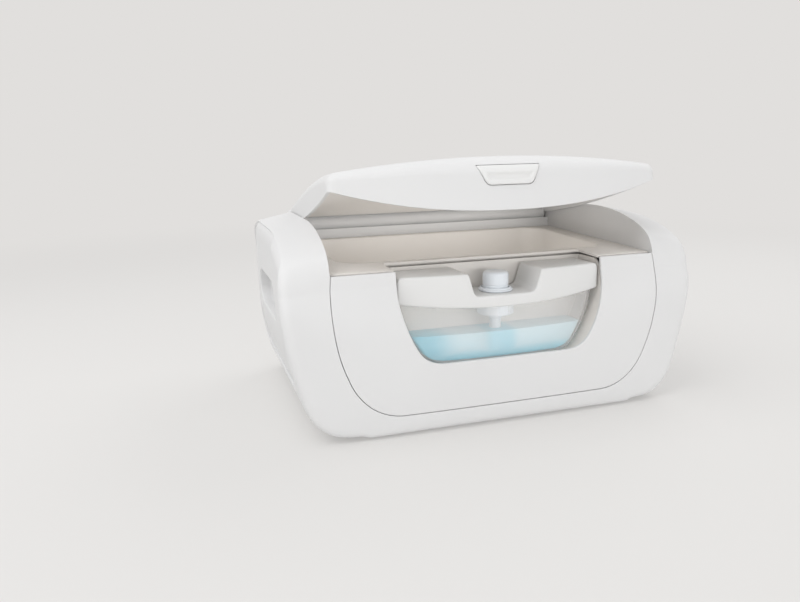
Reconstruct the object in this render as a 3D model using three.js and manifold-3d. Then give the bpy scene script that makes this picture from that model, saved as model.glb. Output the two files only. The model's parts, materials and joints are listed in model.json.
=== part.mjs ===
// Baby wipe warmer: a heated tub for wipes with a lift-out water tank in front, whose pump
// mists the wipes when the lid is pressed shut. Millimetres, +X right, +Y to the back, +Z up.
import * as THREE from "three";
import { mergeVertices } from "three/addons/utils/BufferGeometryUtils.js";
import Module from "manifold-3d";

const wasm = await Module();
wasm.setup();

// Clearances and counts
const gap = 0.3;
const seamGap = 0.4;
const runningGap = 0.6;
const overrun = 20;
const mergeDistance = 1e-4;
const curveSteps = 8;
const roundSteps = 24;
const smallRoundSteps = 14;

// Driving sizes of the housing
const bodyWidth = 322;
const bodyFront = -5; // front face, measured from the plane of the window's edge
const bodyRear = 204;
const bodyBottom = 2; // the rubber feet lift it by this
const bottomInset = 49; // each side draws in by this, down to the flat bottom
const kneeInset = 10;
const kneeHeight = 38;
const widestHeight = 98;
const shoulderDrop = 10; // below the crest of the ears
const shoulderRadius = 10;
const crestHeight = 141;
const faceBow = 6;
const faceStraightHeight = 45;
const browSetback = 10; // behind the front face
const browDrop = 33;
const templeSetback = 25.5;
const templeDrop = 19.5;
const rearTopHeight = 104;
const rearCornerRadius = 46;
const soleRadius = 9;
const edgeRound = 7;
const wall = 3;
const ledge = 5.3; // thickness of the housing's floor edge, which the base plate is screwed to

// Hinge between the ears
const hingeInset = 20; // from the rear face
const hingeDrop = 6.5; // below the crest
const hingePinDiameter = 5;
const hingePinLength = 15;
const barrelRadius = 12.5;
const crestFlatStart = 44; // the crest is level from here, in front of the hinge
const crestFlatEnd = 13;

// Space between the two ears
const earWidth = 34.7;
const deckFrontDrop = 24.3; // below the crest
const deckRearDrop = 12.6; // below the hinge
const flangeThickness = 2;
const troughGap = 1; // between the lid's barrel and the trough that it lies in
const rearLipDrop = 4.5;
const rearLipThickness = 2;

// Water tank, its cover and cradle
const tankWidth = 159;
const tankDepth = 29;
const tankSetback = 9; // behind the housing's front
const tankHeight = 46;
const tankBottom = 46.5;
const tankCornerInset = 14.5;
const tankCornerRise = 10.5;
const tankFlatInset = 35.5;
const tankWall = 2;
const coverOverhang = 0.5; // past each side of the tank
const coverFrontOverhang = 3.5;
const coverRearOverhang = 3;
const coverBow = 7.5;
const coverRise = 19.5; // above the tank's rim
const coverDip = 6; // the middle of its lower edge hangs below the rim
const coverWall = 2.4;
const coverCorner = 5;
const notchTopWidth = 57;
const notchFloorWidth = 47;
const notchDepth = 16.5;
const cradleWall = 2;
const cradleGap = 1.4;
const cradleRearSpace = 7;
const cradleLegWidth = 8;
const cradleLegInset = 4;

// Front panel and its window
const seamBottom = 17.5;
const seamFlatInset = 34;
const seamCornerInset = 8;
const seamCornerHeight = 46;
const seamReach = 19; // depth of the panel's edge behind the housing's front
const windowSideMargin = 3; // around the tank
const windowFlatMargin = 2;
const windowLowMargin = 4;
const windowCornerRise = 9.5;
const windowStraightRise = 49.5;

// Side panels and their hand grips
const sideSeatInset = 4.5;
const sideMargin = 10;
const sidePanelThickness = 2;
const gripFrontMargin = 51;
const gripRearMargin = 54;
const gripHeight = 28;
const gripRise = 6; // above the widest height
const gripDepth = 12;

// Wipe tub
const tubSideLedge = 15.3;
const tubFrontLedge = 6; // behind the cradle
const tubRearLedge = 20; // in front of the hinge
const tubFloor = 26;
const tubWall = 2;
const tubCorner = 18;

// Mist pump
const pumpOffset = 0.3; // behind the middle of the tank
const headDiameter = 19;
const headDrop = 2; // below the top of the cover
const headLength = 19.5;
const headDome = 2.5;
const nozzleDiameter = 5;
const nozzleDepth = 1.2;
const pumpBodyDiameter = 24;
const pumpBodyDrop = 13.5; // below the head
const pumpFloor = 2.5;
const pumpFlangeDiameter = 28;
const pumpFlangeThickness = 1.4;
const dipTubeDiameter = 6;
const dipTubeRise = 3.5; // above the bottom of the tank
const springWire = 0.9;
const springDiameter = 13;
const springTurns = 5;

// Lid. Its own frame has the hinge axis as origin, and -Y towards the front
const lidOpenAngle = 10.9; // above level, as the lid stands at rest
const lidClosedAngle = -5.5;
const lidSideGap = 0.8;
const lidWall = 2.4;
const lidOverhang = 3; // past the housing's front
const lidBow = 10.5;
const lidCrest = 30;
const lidSideTop = 19;
const lidSideRound = 6;
const lidSideLower = -3.4;
const lidTipLower = 1;
const lidLipLower = -15;
const lidCrestDrop = 8; // from the crest down to the front edge
const lidSideDrop = 5;
const lidFrontRound = 12;
const lidCornerRound = 5;
const lidPinWall = 18;
const linerGap = 0.4;
const linerThickness = 2;
const linerRoof = 6;
const presserDiameter = 15;
const presserGap = 0.8;
const springPostWidth = 10;
const springPostDepth = 3;
const springPostTop = 15;
const buttonTopHalfWidth = 24;
const buttonLowHalfWidth = 19;
const buttonTop = 16.5;
const buttonLow = 2.8;
const buttonProud = 1.2;
const buttonDepth = 7;
const buttonTravel = 3;
const buttonCorner = 3.5;
const tongueThickness = 2;
const tongueTop = 13;
const tongueReach = 11; // below the lower edge of the button
const tongueSideGap = 0.8;
const latchSpringDiameter = 5;
const latchSpringWire = 0.7;
const latchSpringTurns = 4;
const latchSpringLength = 9; // behind the tongue's slot, up to the post

// Base, feet and screws
const baseInset = 6;
const baseThickness = 2.5;
const baseRebate = 7;
const footDiameter = 15;
const footSink = 1;
const footInset = 28; // from the side of the flat bottom
const footFrontMargin = 33;
const footRearMargin = 32;
const screwInset = 17;
const screwFrontMargin = 23;
const screwRearMargin = 23;
const screwHeadDiameter = 6.4;
const screwHeadHeight = 1.8;
const screwDiameter = 3;
const screwLength = 12;
const bossDiameter = 9;
const bossHeight = 17;

// Heater and electrics
const spreaderSideMargin = 23; // inside the tub's outline
const spreaderEndMargin = 15;
const spreaderThickness = 1.2;
const filmThickness = 0.8;
const filmInset = 6;
const padThickness = 6;
const padMargin = 5;
const postDiameter = 8;
const filmTailWidth = 22;
const filmTailInset = 7; // in front of the board's middle
const thermostatDiameter = 13;
const thermostatHeight = 4.6;
const fuseDiameter = 4;
const fuseLength = 12;
const boardLength = 62;
const boardDepth = 26;
const boardThickness = 1.6;
const boardSideGap = 7.5; // beside the screw's boss
const boardRearMargin = 30;
const boardClearance = 3;
const boardPostDiameter = 3;
const inletHeight = 27;
const inletWidth = 12;
const inletBody = 11;
const inletDepth = 14;
const inletBore = 6.4;
const leadDiameter = 2.4;
const leadPitch = 8;
const leadInset = 3; // from the edge of what it is soldered to
const inletRecess = 0.6;

// Places that follow from the sizes above
const bodyHalf = bodyWidth / 2;
const bottomHalfWidth = bodyHalf - bottomInset;
const kneeHalfWidth = bodyHalf - kneeInset;
const shoulderHeight = crestHeight - shoulderDrop;
const browY = bodyFront + browSetback;
const browHeight = crestHeight - browDrop;
const templeY = bodyFront + templeSetback;
const templeHeight = crestHeight - templeDrop;
const hingeY = bodyRear - hingeInset;
const hingeHeight = crestHeight - hingeDrop;
const crestStartY = hingeY - crestFlatStart;
const crestEndY = hingeY - crestFlatEnd;
const earHalf = bodyHalf - earWidth;
const deckFrontHeight = crestHeight - deckFrontDrop;
const deckRearHeight = hingeHeight - deckRearDrop;
const rearLipTop = hingeHeight - rearLipDrop;
const tankHalf = tankWidth / 2;
const tankFront = bodyFront + tankSetback;
const tankRear = tankFront + tankDepth;
const tankTop = tankBottom + tankHeight;
const tankCornerHalfWidth = tankHalf - tankCornerInset;
const tankCornerHeight = tankBottom + tankCornerRise;
const tankFlatHalfWidth = tankHalf - tankFlatInset;
const coverHalf = tankHalf + coverOverhang;
const coverFront = tankFront - coverFrontOverhang;
const coverRear = tankRear + coverRearOverhang;
const coverTop = tankTop + coverRise;
const coverBottomMiddle = tankTop - coverDip;
const notchFloor = coverTop - notchDepth;
const cradleRear = tankRear + cradleRearSpace;
const cradleLegX = tankFlatHalfWidth - cradleLegInset;
const seamFlatHalfWidth = bottomHalfWidth - seamFlatInset;
const seamTopHalfWidth = earHalf - gap;
const seamCornerHalfWidth = seamTopHalfWidth - seamCornerInset;
const seamDepth = bodyFront + seamReach;
const windowTopHalfWidth = tankHalf + windowSideMargin;
const windowCornerHalfWidth = tankCornerHalfWidth + windowSideMargin;
const windowFlatHalfWidth = tankFlatHalfWidth + windowFlatMargin;
const windowBottom = tankBottom + windowLowMargin;
const windowCornerHeight = windowBottom + windowCornerRise;
const windowStraightHeight = windowBottom + windowStraightRise;
const sideSeat = bodyHalf - sideSeatInset;
const gripFront = bodyFront + gripFrontMargin;
const gripRear = bodyRear - gripRearMargin;
const gripTop = widestHeight + gripRise;
const tubHalf = earHalf - tubSideLedge;
const tubFront = cradleRear + tubFrontLedge;
const tubRear = hingeY - tubRearLedge;
const pumpY = (tankFront + tankRear) / 2 + pumpOffset;
const headTop = coverTop - headDrop;
const headBottom = headTop - headLength;
const pumpBodyBottom = headBottom - pumpBodyDrop;
const dipTubeBottom = tankBottom + dipTubeRise;
const lidReach = hingeY - bodyFront + lidOverhang;
const footX = bottomHalfWidth - footInset;
const footFrontY = bodyFront + footFrontMargin;
const footRearY = bodyRear - footRearMargin;
const screwX = bottomHalfWidth - screwInset;
const screwFrontY = bodyFront + screwFrontMargin;
const screwRearY = bodyRear - screwRearMargin;
const spreaderWidth = 2 * (tubHalf - spreaderSideMargin);
const spreaderDepth = tubRear - tubFront - 2 * spreaderEndMargin;
const boardX = boardLength / 2 + boardSideGap + bossDiameter / 2 - screwX;
const boardY = bodyRear - boardRearMargin;
const filmTailEnd = boardY - filmTailInset;
const inletX = boardX;

// Solids

function toSolid(geometry) {
  const bare = geometry.clone();
  bare.deleteAttribute("normal");
  bare.deleteAttribute("uv");
  const merged = mergeVertices(bare, mergeDistance);
  return new wasm.Manifold(new wasm.Mesh({
    numProp: 3,
    vertProperties: new Float32Array(merged.attributes.position.array),
    triVerts: new Uint32Array(merged.index.array),
  }));
}

function toGeometry(solid) {
  const mesh = solid.getMesh();
  const geometry = new THREE.BufferGeometry();
  geometry.setAttribute("position", new THREE.BufferAttribute(new Float32Array(mesh.vertProperties), 3));
  geometry.setIndex(new THREE.BufferAttribute(new Uint32Array(mesh.triVerts), 1));
  geometry.computeVertexNormals();
  return geometry;
}

const axisX = new THREE.Vector3(1, 0, 0);
const axisY = new THREE.Vector3(0, 1, 0);
const axisZ = new THREE.Vector3(0, 0, 1);

// Shape drawn in X and Z, carried along Y
function prismY(shape, from, to, round = 0) {
  const geometry = new THREE.ExtrudeGeometry(shape, {
    depth: to - from - 2 * round,
    curveSegments: curveSteps,
    bevelEnabled: round > 0,
    bevelSegments: 3,
    bevelSize: round,
    bevelThickness: round,
    bevelOffset: -round,
  });
  geometry.rotateX(Math.PI / 2);
  geometry.translate(0, to - round, 0);
  return toSolid(geometry);
}

// Shape drawn in Y and Z, carried along X
function prismX(shape, from, to) {
  const geometry = new THREE.ExtrudeGeometry(shape, {
    depth: to - from,
    curveSegments: curveSteps,
    bevelEnabled: false,
  });
  geometry.applyMatrix4(new THREE.Matrix4().makeBasis(axisY, axisZ, axisX));
  geometry.translate(from, 0, 0);
  return toSolid(geometry);
}

// Shape drawn in X and Y, carried along Z
function prismZ(shape, from, to) {
  const geometry = new THREE.ExtrudeGeometry(shape, {
    depth: to - from,
    curveSegments: curveSteps,
    bevelEnabled: false,
  });
  geometry.translate(0, 0, from);
  return toSolid(geometry);
}

function block(x0, x1, y0, y1, z0, z1) {
  const geometry = new THREE.BoxGeometry(x1 - x0, y1 - y0, z1 - z0);
  geometry.translate((x0 + x1) / 2, (y0 + y1) / 2, (z0 + z1) / 2);
  return toSolid(geometry);
}

function rodZ(x, y, diameter, z0, z1, steps = roundSteps) {
  const geometry = new THREE.CylinderGeometry(diameter / 2, diameter / 2, z1 - z0, steps);
  geometry.rotateX(Math.PI / 2);
  geometry.translate(x, y, (z0 + z1) / 2);
  return toSolid(geometry);
}

function rodY(x, z, diameter, y0, y1, steps = smallRoundSteps) {
  const geometry = new THREE.CylinderGeometry(diameter / 2, diameter / 2, y1 - y0, steps);
  geometry.translate(x, (y0 + y1) / 2, z);
  return toSolid(geometry);
}

function rodX(y, z, diameter, x0, x1, steps = roundSteps) {
  const geometry = new THREE.CylinderGeometry(diameter / 2, diameter / 2, x1 - x0, steps);
  geometry.rotateZ(Math.PI / 2);
  geometry.translate((x0 + x1) / 2, y, z);
  return toSolid(geometry);
}

// Turned piece about a vertical axis, from radius and height pairs
function turned(x, y, profile, steps = roundSteps) {
  const points = profile.map(([radius, height]) => new THREE.Vector2(radius, height));
  const geometry = new THREE.LatheGeometry(points, steps);
  geometry.rotateX(Math.PI / 2);
  geometry.translate(x, y, 0);
  return toSolid(geometry);
}

// Tube of round section along a list of points
function tubeAlong(points, diameter, steps, sides) {
  const section = new THREE.Shape();
  for (let i = 0; i < sides; i += 1) {
    const angle = (2 * Math.PI * i) / sides;
    const place = [Math.cos(angle) * diameter / 2, Math.sin(angle) * diameter / 2];
    if (i === 0) section.moveTo(...place);
    else section.lineTo(...place);
  }
  const route = new THREE.CatmullRomCurve3(points, false, "centripetal");
  return new THREE.ExtrudeGeometry(section, { steps, extrudePath: route, bevelEnabled: false });
}

function helixPoints(turns, diameter, height, perTurn) {
  const points = [];
  const count = turns * perTurn;
  for (let i = 0; i <= count; i += 1) {
    const angle = (2 * Math.PI * i) / perTurn;
    points.push(new THREE.Vector3(
      Math.cos(angle) * diameter / 2,
      Math.sin(angle) * diameter / 2,
      (height * i) / count,
    ));
  }
  return points;
}

// Outlines

// Cubic curve whose two handles are given as shares of the step between its ends
function bend(path, to, handleShares) {
  const from = path.currentPoint;
  const step = { x: to[0] - from.x, y: to[1] - from.y };
  path.bezierCurveTo(
    from.x + step.x * handleShares[0], from.y + step.y * handleShares[1],
    from.x + step.x * handleShares[2], from.y + step.y * handleShares[3],
    to[0], to[1],
  );
}

// Closed shape from its right half, mirrored in the line x = 0
function mirrored(half) {
  const right = half.getPoints(curveSteps);
  const left = right.filter((point) => point.x > 0).reverse();
  return new THREE.Shape([...right, ...left.map((point) => new THREE.Vector2(-point.x, point.y))]);
}

function roundedRectangle(x0, x1, y0, y1, radius) {
  const shape = new THREE.Shape();
  shape.moveTo(x0 + radius, y0);
  shape.lineTo(x1 - radius, y0);
  shape.absarc(x1 - radius, y0 + radius, radius, -Math.PI / 2, 0);
  shape.lineTo(x1, y1 - radius);
  shape.absarc(x1 - radius, y1 - radius, radius, 0, Math.PI / 2);
  shape.lineTo(x0 + radius, y1);
  shape.absarc(x0 + radius, y1 - radius, radius, Math.PI / 2, Math.PI);
  shape.lineTo(x0, y0 + radius);
  shape.absarc(x0 + radius, y0 + radius, radius, Math.PI, 1.5 * Math.PI);
  return shape;
}

// Handle shares of the housing's curves
const keelShares = [0.59, 0, 0.87, 0.33];
const hullShares = [0.42, 0.28, 1, 0.55];
const faceShares = [0, 0.4, 0.5, 0.72];
const browShares = [0.16, 0.5, 0.5, 0.78];
const templeShares = [0.25, 0.6, 0.58, 1];
const rearShares = [0.62, 0, 1, 0.35];

// Handle shares of the front panel's seam, of its window and of the tank
const seamLowShares = [0.5, 0, 0.85, 0.44];
const seamHighShares = [1.1, 0.28, 1.44, 0.69];
const windowLowShares = [0.45, 0, 0.77, 0.26];
const windowHighShares = [0.48, 0.25, 0.9, 0.65];
const tankLowShares = [0.5, 0, 0.8, 0.3];
const tankHighShares = [0.4, 0.22, 0.9, 0.6];

// Front view of the housing: a boat shape with a shoulder at each side
function hullOutline(inset, halfWidth, bottom) {
  const half = new THREE.Path();
  const top = crestHeight - inset;
  half.moveTo(0, bottom);
  half.lineTo(bottomHalfWidth - inset, bottom);
  bend(half, [kneeHalfWidth - inset, kneeHeight], keelShares);
  bend(half, [halfWidth, widestHeight], hullShares);
  const shoulder = shoulderHeight - inset;
  half.lineTo(halfWidth, shoulder - shoulderRadius);
  half.quadraticCurveTo(halfWidth, shoulder, halfWidth - shoulderRadius, shoulder);
  half.lineTo(earHalf, top);
  half.lineTo(0, top);
  return mirrored(half);
}

// Side view of the housing: upright face, brow, and a long arc up to the crest
function profileOutline(inset, bottom) {
  const path = new THREE.Path();
  const front = bodyFront + inset;
  const rear = bodyRear - inset;
  path.moveTo(front + soleRadius, bottom);
  path.quadraticCurveTo(front, bottom, front, bottom + soleRadius);
  path.lineTo(front, faceStraightHeight);
  bend(path, [browY + inset, browHeight - inset], faceShares);
  bend(path, [templeY + inset, templeHeight - inset], browShares);
  bend(path, [crestStartY, crestHeight - inset], templeShares);
  path.lineTo(crestEndY, crestHeight - inset);
  bend(path, [rear, rearTopHeight], rearShares);
  path.lineTo(rear, bottom + soleRadius);
  path.quadraticCurveTo(rear, bottom, rear - soleRadius, bottom);
  return new THREE.Shape(path.getPoints(curveSteps));
}

// Plan of the housing: bowed face and wide round corners at the back
function planOutline(inset, halfWidth) {
  const half = new THREE.Path();
  const front = bodyFront + inset;
  const rear = bodyRear - inset;
  const radius = rearCornerRadius - inset;
  half.moveTo(0, front);
  half.quadraticCurveTo(halfWidth / 2, front, halfWidth, front + faceBow);
  half.lineTo(halfWidth, rear - radius);
  half.absarc(halfWidth - radius, rear - radius, radius, 0, Math.PI / 2);
  half.lineTo(0, rear);
  return mirrored(half);
}

function hull(inset, halfWidth, bottom, round) {
  const front = bodyFront + inset;
  const rear = bodyRear - inset;
  return prismY(hullOutline(inset, halfWidth, bottom), front, rear, round)
    .intersect(prismX(profileOutline(inset, bottom), -bodyWidth, bodyWidth))
    .intersect(prismZ(planOutline(inset, halfWidth), -overrun, crestHeight + overrun));
}

const deckSlope = (deckRearHeight - deckFrontHeight) / (hingeY - barrelRadius);
const deckAt = (y) => deckFrontHeight + deckSlope * y;

// Side view of the space between the ears: down to the deck, over the rear lip and into the
// trough of the lid's barrel. Grown, it is the space that the walls around it take up.
function earGapShape(drop, grow = 0) {
  const shape = new THREE.Shape();
  const front = bodyFront - overrun;
  const sky = crestHeight + overrun;
  const radius = barrelRadius + troughGap + grow;
  const lipY = hingeY - barrelRadius - troughGap - rearLipThickness + grow;
  const lipAngle = grow > 0
    ? Math.acos((hingeY - lipY) / radius)
    : Math.asin((hingeHeight - rearLipTop) / radius);
  shape.moveTo(front, deckAt(front) - drop);
  shape.lineTo(lipY, deckAt(lipY) - drop);
  shape.lineTo(lipY, hingeHeight - radius * Math.sin(lipAngle));
  shape.absarc(hingeY, hingeHeight, radius, Math.PI + lipAngle, 1.75 * Math.PI);
  shape.lineTo(bodyRear + overrun, hingeHeight - radius * Math.SQRT1_2);
  shape.lineTo(bodyRear + overrun, sky);
  shape.lineTo(front, sky);
  return shape;
}

// U-shaped outline of the front panel
function seamOutline(inset) {
  const half = new THREE.Path();
  half.moveTo(0, seamBottom + inset);
  half.lineTo(seamFlatHalfWidth, seamBottom + inset);
  bend(half, [seamCornerHalfWidth - inset, seamCornerHeight], seamLowShares);
  bend(half, [seamTopHalfWidth - inset, deckFrontHeight], seamHighShares);
  half.lineTo(seamTopHalfWidth - inset, deckFrontHeight + (inset > 0 ? 0 : overrun));
  half.lineTo(0, deckFrontHeight + (inset > 0 ? 0 : overrun));
  return mirrored(half);
}

// Window in the front panel, open at the top
function windowOutline() {
  const half = new THREE.Path();
  half.moveTo(0, windowBottom);
  half.lineTo(windowFlatHalfWidth, windowBottom);
  bend(half, [windowCornerHalfWidth, windowCornerHeight], windowLowShares);
  bend(half, [windowTopHalfWidth, windowStraightHeight], windowHighShares);
  half.lineTo(windowTopHalfWidth, crestHeight);
  half.lineTo(0, crestHeight);
  return mirrored(half);
}

// Front view of the tank, grown by the clearance of its cradle or shrunk by its own wall
function tankOutline(grow, top) {
  const half = new THREE.Path();
  half.moveTo(0, tankBottom - grow);
  half.lineTo(tankFlatHalfWidth, tankBottom - grow);
  bend(half, [tankCornerHalfWidth + grow, tankCornerHeight - grow], tankLowShares);
  bend(half, [tankHalf + grow, tankTop], tankHighShares);
  if (top > tankTop) half.lineTo(tankHalf + grow, top);
  half.lineTo(0, Math.max(top, tankTop));
  return mirrored(half);
}

// Housing

const group = new THREE.Group();

function add(parent, name, shape, color, roughness, options = {}) {
  const geometry = shape instanceof THREE.BufferGeometry ? shape : toGeometry(shape);
  const material = new THREE.MeshStandardMaterial({ color, roughness, metalness: 0, ...options });
  const mesh = new THREE.Mesh(geometry, material);
  mesh.name = name;
  parent.add(mesh);
  return mesh;
}

const shellWhite = "#ececea";
const tubGrey = "#e2dfdb";
const outerHull = hull(0, bodyHalf, bodyBottom, edgeRound);
const earGap = prismX(earGapShape(flangeThickness + gap), -earHalf, earHalf);
const earWalls = prismX(earGapShape(flangeThickness + gap + wall, wall), -earHalf - wall, earHalf + wall);
const cavity = hull(wall, sideSeat - wall, bodyBottom + ledge, 0).subtract(earWalls);
const seamPrism = prismY(seamOutline(0), bodyFront - overrun, seamDepth);
const basePlan = (inset) => roundedRectangle(
  -bottomHalfWidth + baseInset + inset,
  bottomHalfWidth - baseInset - inset,
  bodyFront + soleRadius + baseInset + inset,
  bodyRear - soleRadius - baseInset - inset,
  tubCorner - inset,
);
const tubPlan = (grow) => roundedRectangle(
  -tubHalf - grow, tubHalf + grow, tubFront - grow, tubRear + grow, tubCorner + grow,
);
const screwPlaces = [
  ["front_left", -screwX, screwFrontY], ["front_right", screwX, screwFrontY],
  ["rear_left", -screwX, screwRearY], ["rear_right", screwX, screwRearY],
];
const footPlaces = [
  ["front_left", -footX, footFrontY], ["front_right", footX, footFrontY],
  ["rear_left", -footX, footRearY], ["rear_right", footX, footRearY],
];
const padBottom = tubFloor - spreaderThickness - filmThickness - padThickness - 3 * gap;
const boardBottom = bodyBottom + baseThickness + boardClearance;
const heaterLeadX = boardX + boardLength / 4;
const thermostatX = spreaderWidth / 6;
const fuseX = -spreaderWidth / 6;
const postPlaces = [-1, 1].flatMap((side) => [-1, 1].map((end) => [
  side * spreaderWidth / 3, (tubFront + tubRear) / 2 + end * spreaderDepth / 3,
]));
const boardPostPlaces = [-1, 1].map((side) => [
  boardX + side * (boardLength / 2 - leadPitch), boardY - side * (boardDepth / 2 - leadPitch),
]);
const coverBottomEnd = tankTop + gap;
const gripPlan = (grow) => roundedRectangle(
  gripFront - grow, gripRear + grow, gripTop - gripHeight - grow, gripTop + grow, gripHeight / 2 + grow,
);

function buildShell() {
  let shell = outerHull.subtract(cavity).subtract(earGap).subtract(seamPrism);
  const cradleHalf = tankHalf + cradleGap + cradleWall + gap;
  const deckDrop = deckFrontHeight - wall - overrun;
  shell = shell.subtract(prismZ(tubPlan(gap), deckDrop, crestHeight + overrun));
  shell = shell.subtract(block(
    -cradleHalf, cradleHalf, bodyFront - overrun, cradleRear + gap, deckDrop, crestHeight,
  ));
  shell = shell.subtract(prismZ(basePlan(baseRebate), -overrun, bodyBottom + ledge + gap));
  shell = shell.subtract(prismZ(basePlan(0), -overrun, bodyBottom + baseThickness + gap));
  for (const side of [-1, 1]) {
    const outer = prismX(
      profileOutline(sideMargin, -overrun),
      side > 0 ? sideSeat : -bodyWidth,
      side > 0 ? bodyWidth : -sideSeat,
    );
    const grip = prismX(
      gripPlan(sidePanelThickness + gap),
      side > 0 ? sideSeat - overrun : -sideSeat - wall,
      side > 0 ? sideSeat + wall : -sideSeat + overrun,
    );
    shell = shell.subtract(outer).subtract(grip);
    const pinEnd = earHalf + wall + gap;
    shell = shell.subtract(rodX(
      hingeY, hingeHeight, hingePinDiameter + 2 * gap, side > 0 ? earHalf - wall : -pinEnd,
      side > 0 ? pinEnd : -earHalf + wall, smallRoundSteps,
    ));
  }
  for (const [, x, y] of screwPlaces) {
    const bossTop = bodyBottom + ledge + bossHeight;
    shell = shell.add(rodZ(x, y, bossDiameter, bodyBottom + baseThickness + gap, bossTop, smallRoundSteps));
    const boreTop = bodyBottom + screwHeadHeight + screwLength + gap;
    shell = shell.subtract(rodZ(x, y, screwDiameter + 2 * gap, -overrun, boreTop, smallRoundSteps));
  }
  const inletHalf = inletWidth / 2 + gap;
  return shell.subtract(block(
    inletX - inletHalf, inletX + inletHalf, bodyRear - 3 * wall, bodyRear + wall,
    inletHeight - inletBody / 2 - gap, inletHeight + inletBody / 2 + gap,
  ));
}

const panelCut = hull(wall, bodyHalf - wall, bodyBottom + wall, 0);
const frontPanel = outerHull.subtract(panelCut)
  .intersect(prismY(seamOutline(seamGap), bodyFront - overrun, seamDepth - gap))
  .subtract(prismY(windowOutline(), bodyFront - overrun, seamDepth + overrun));

// Recessed end face with the pocket of its hand grip
function buildSidePanel(side) {
  const span = (near, far) => (side > 0 ? [near, far] : [-far, -near]);
  const seat = sideSeat + gap;
  const outer = seat + sidePanelThickness;
  const bottom = sideSeat - gripDepth;
  const face = prismX(profileOutline(sideMargin + seamGap, -overrun), ...span(seat, outer))
    .intersect(hull(seamGap, bodyHalf - seamGap, bodyBottom, 0));
  const pocket = prismX(gripPlan(sidePanelThickness), ...span(bottom, outer));
  const hollow = prismX(gripPlan(0), ...span(bottom + sidePanelThickness, outer + overrun));
  return face.add(pocket).subtract(hollow);
}

function buildBase() {
  const top = bodyBottom + baseThickness;
  let base = prismZ(basePlan(seamGap), bodyBottom, top);
  for (const [, x, y] of footPlaces) {
    base = base.subtract(rodZ(x, y, footDiameter + 2 * gap, -overrun, bodyBottom + footSink + gap));
  }
  const headTopHeight = bodyBottom + screwHeadHeight + gap;
  for (const [, x, y] of screwPlaces) {
    base = base.subtract(rodZ(x, y, screwHeadDiameter + 2 * gap, -overrun, headTopHeight));
    base = base.subtract(rodZ(x, y, screwDiameter + 2 * gap, -overrun, top + overrun, smallRoundSteps));
  }
  const root = top - baseThickness / 2;
  for (const [x, y] of postPlaces) {
    base = base.add(rodZ(x, y, postDiameter, root, padBottom - gap, smallRoundSteps));
  }
  for (const [x, y] of boardPostPlaces) {
    base = base.add(rodZ(x, y, boardPostDiameter, root, boardBottom - gap, smallRoundSteps));
  }
  return base;
}

function buildTub() {
  const inner = tubPlan(-tubWall);
  const flangeRear = hingeY - barrelRadius - troughGap - rearLipThickness - gap;
  const aboveDeck = prismX(earGapShape(0), -bodyHalf, bodyHalf);
  const flange = prismX(earGapShape(flangeThickness), -earHalf + gap, earHalf - gap)
    .subtract(aboveDeck)
    .intersect(block(-earHalf, earHalf, seamDepth, flangeRear, 0, crestHeight));
  const pocketHalf = tankHalf + cradleGap;
  const cup = prismZ(tubPlan(0), tubFloor, crestHeight)
    .subtract(aboveDeck)
    .subtract(prismZ(inner, tubFloor + tubWall, crestHeight + overrun));
  return flange.subtract(prismZ(inner, deckFrontHeight - wall - overrun, crestHeight))
    .add(cup)
    .subtract(block(-pocketHalf, pocketHalf, bodyFront, cradleRear - cradleWall, tankTop, crestHeight));
}

function buildCradle() {
  const top = deckFrontHeight - flangeThickness - gap;
  const outside = prismY(tankOutline(cradleGap + cradleWall, top), bodyFront, cradleRear);
  const inside = prismY(tankOutline(cradleGap, crestHeight), bodyFront - overrun, cradleRear - cradleWall);
  let cradle = outside.subtract(inside);
  for (const side of [-1, 1]) {
    const middle = side * cradleLegX;
    cradle = cradle.add(block(
      middle - cradleLegWidth / 2, middle + cradleLegWidth / 2, cradleRear - cradleLegWidth, cradleRear,
      bodyBottom + baseThickness + gap, tankBottom - cradleGap - cradleWall / 2,
    ));
  }
  return cradle.intersect(hull(wall + gap, bodyHalf - wall, bodyBottom, 0));
}

// Plan that the tank and its cover share: a bowed front, and a flat back between round corners
function bowedPlan(halfWidth, front, rear) {
  const plan = new THREE.Path();
  plan.moveTo(0, front);
  plan.quadraticCurveTo(halfWidth / 2, front, halfWidth, front + coverBow);
  plan.lineTo(halfWidth, rear - coverCorner);
  plan.quadraticCurveTo(halfWidth, rear, halfWidth - coverCorner, rear);
  plan.lineTo(0, rear);
  return mirrored(plan);
}

// Bar on top of the tank, with a lens-shaped lower edge
function coverForm(grow, lower = grow) {
  const halfWidth = coverHalf + grow;
  const plan = bowedPlan(halfWidth, coverFront - grow, coverRear + grow);
  const face = new THREE.Path();
  face.moveTo(0, coverBottomMiddle - lower);
  face.quadraticCurveTo(halfWidth / 2, coverBottomMiddle - lower, halfWidth, coverBottomEnd - lower);
  face.lineTo(halfWidth, coverTop + grow - coverCorner);
  face.quadraticCurveTo(halfWidth, coverTop + grow, halfWidth - coverCorner, coverTop + grow);
  face.lineTo(0, coverTop + grow);
  return prismY(mirrored(face), bodyFront - overrun, cradleRear + overrun)
    .intersect(prismZ(plan, coverBottomMiddle - 2 * overrun, coverTop + overrun));
}

function notchOutline(grow) {
  const half = new THREE.Path();
  const corner = notchFloorWidth / 2 + grow;
  const floor = notchFloor - grow;
  half.moveTo(0, floor);
  half.lineTo(corner - coverCorner, floor);
  half.quadraticCurveTo(corner, floor, corner, floor + coverCorner);
  half.lineTo(notchTopWidth / 2 + grow, coverTop);
  half.lineTo(notchTopWidth / 2 + grow, coverTop + overrun);
  half.lineTo(0, coverTop + overrun);
  return mirrored(half);
}

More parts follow.
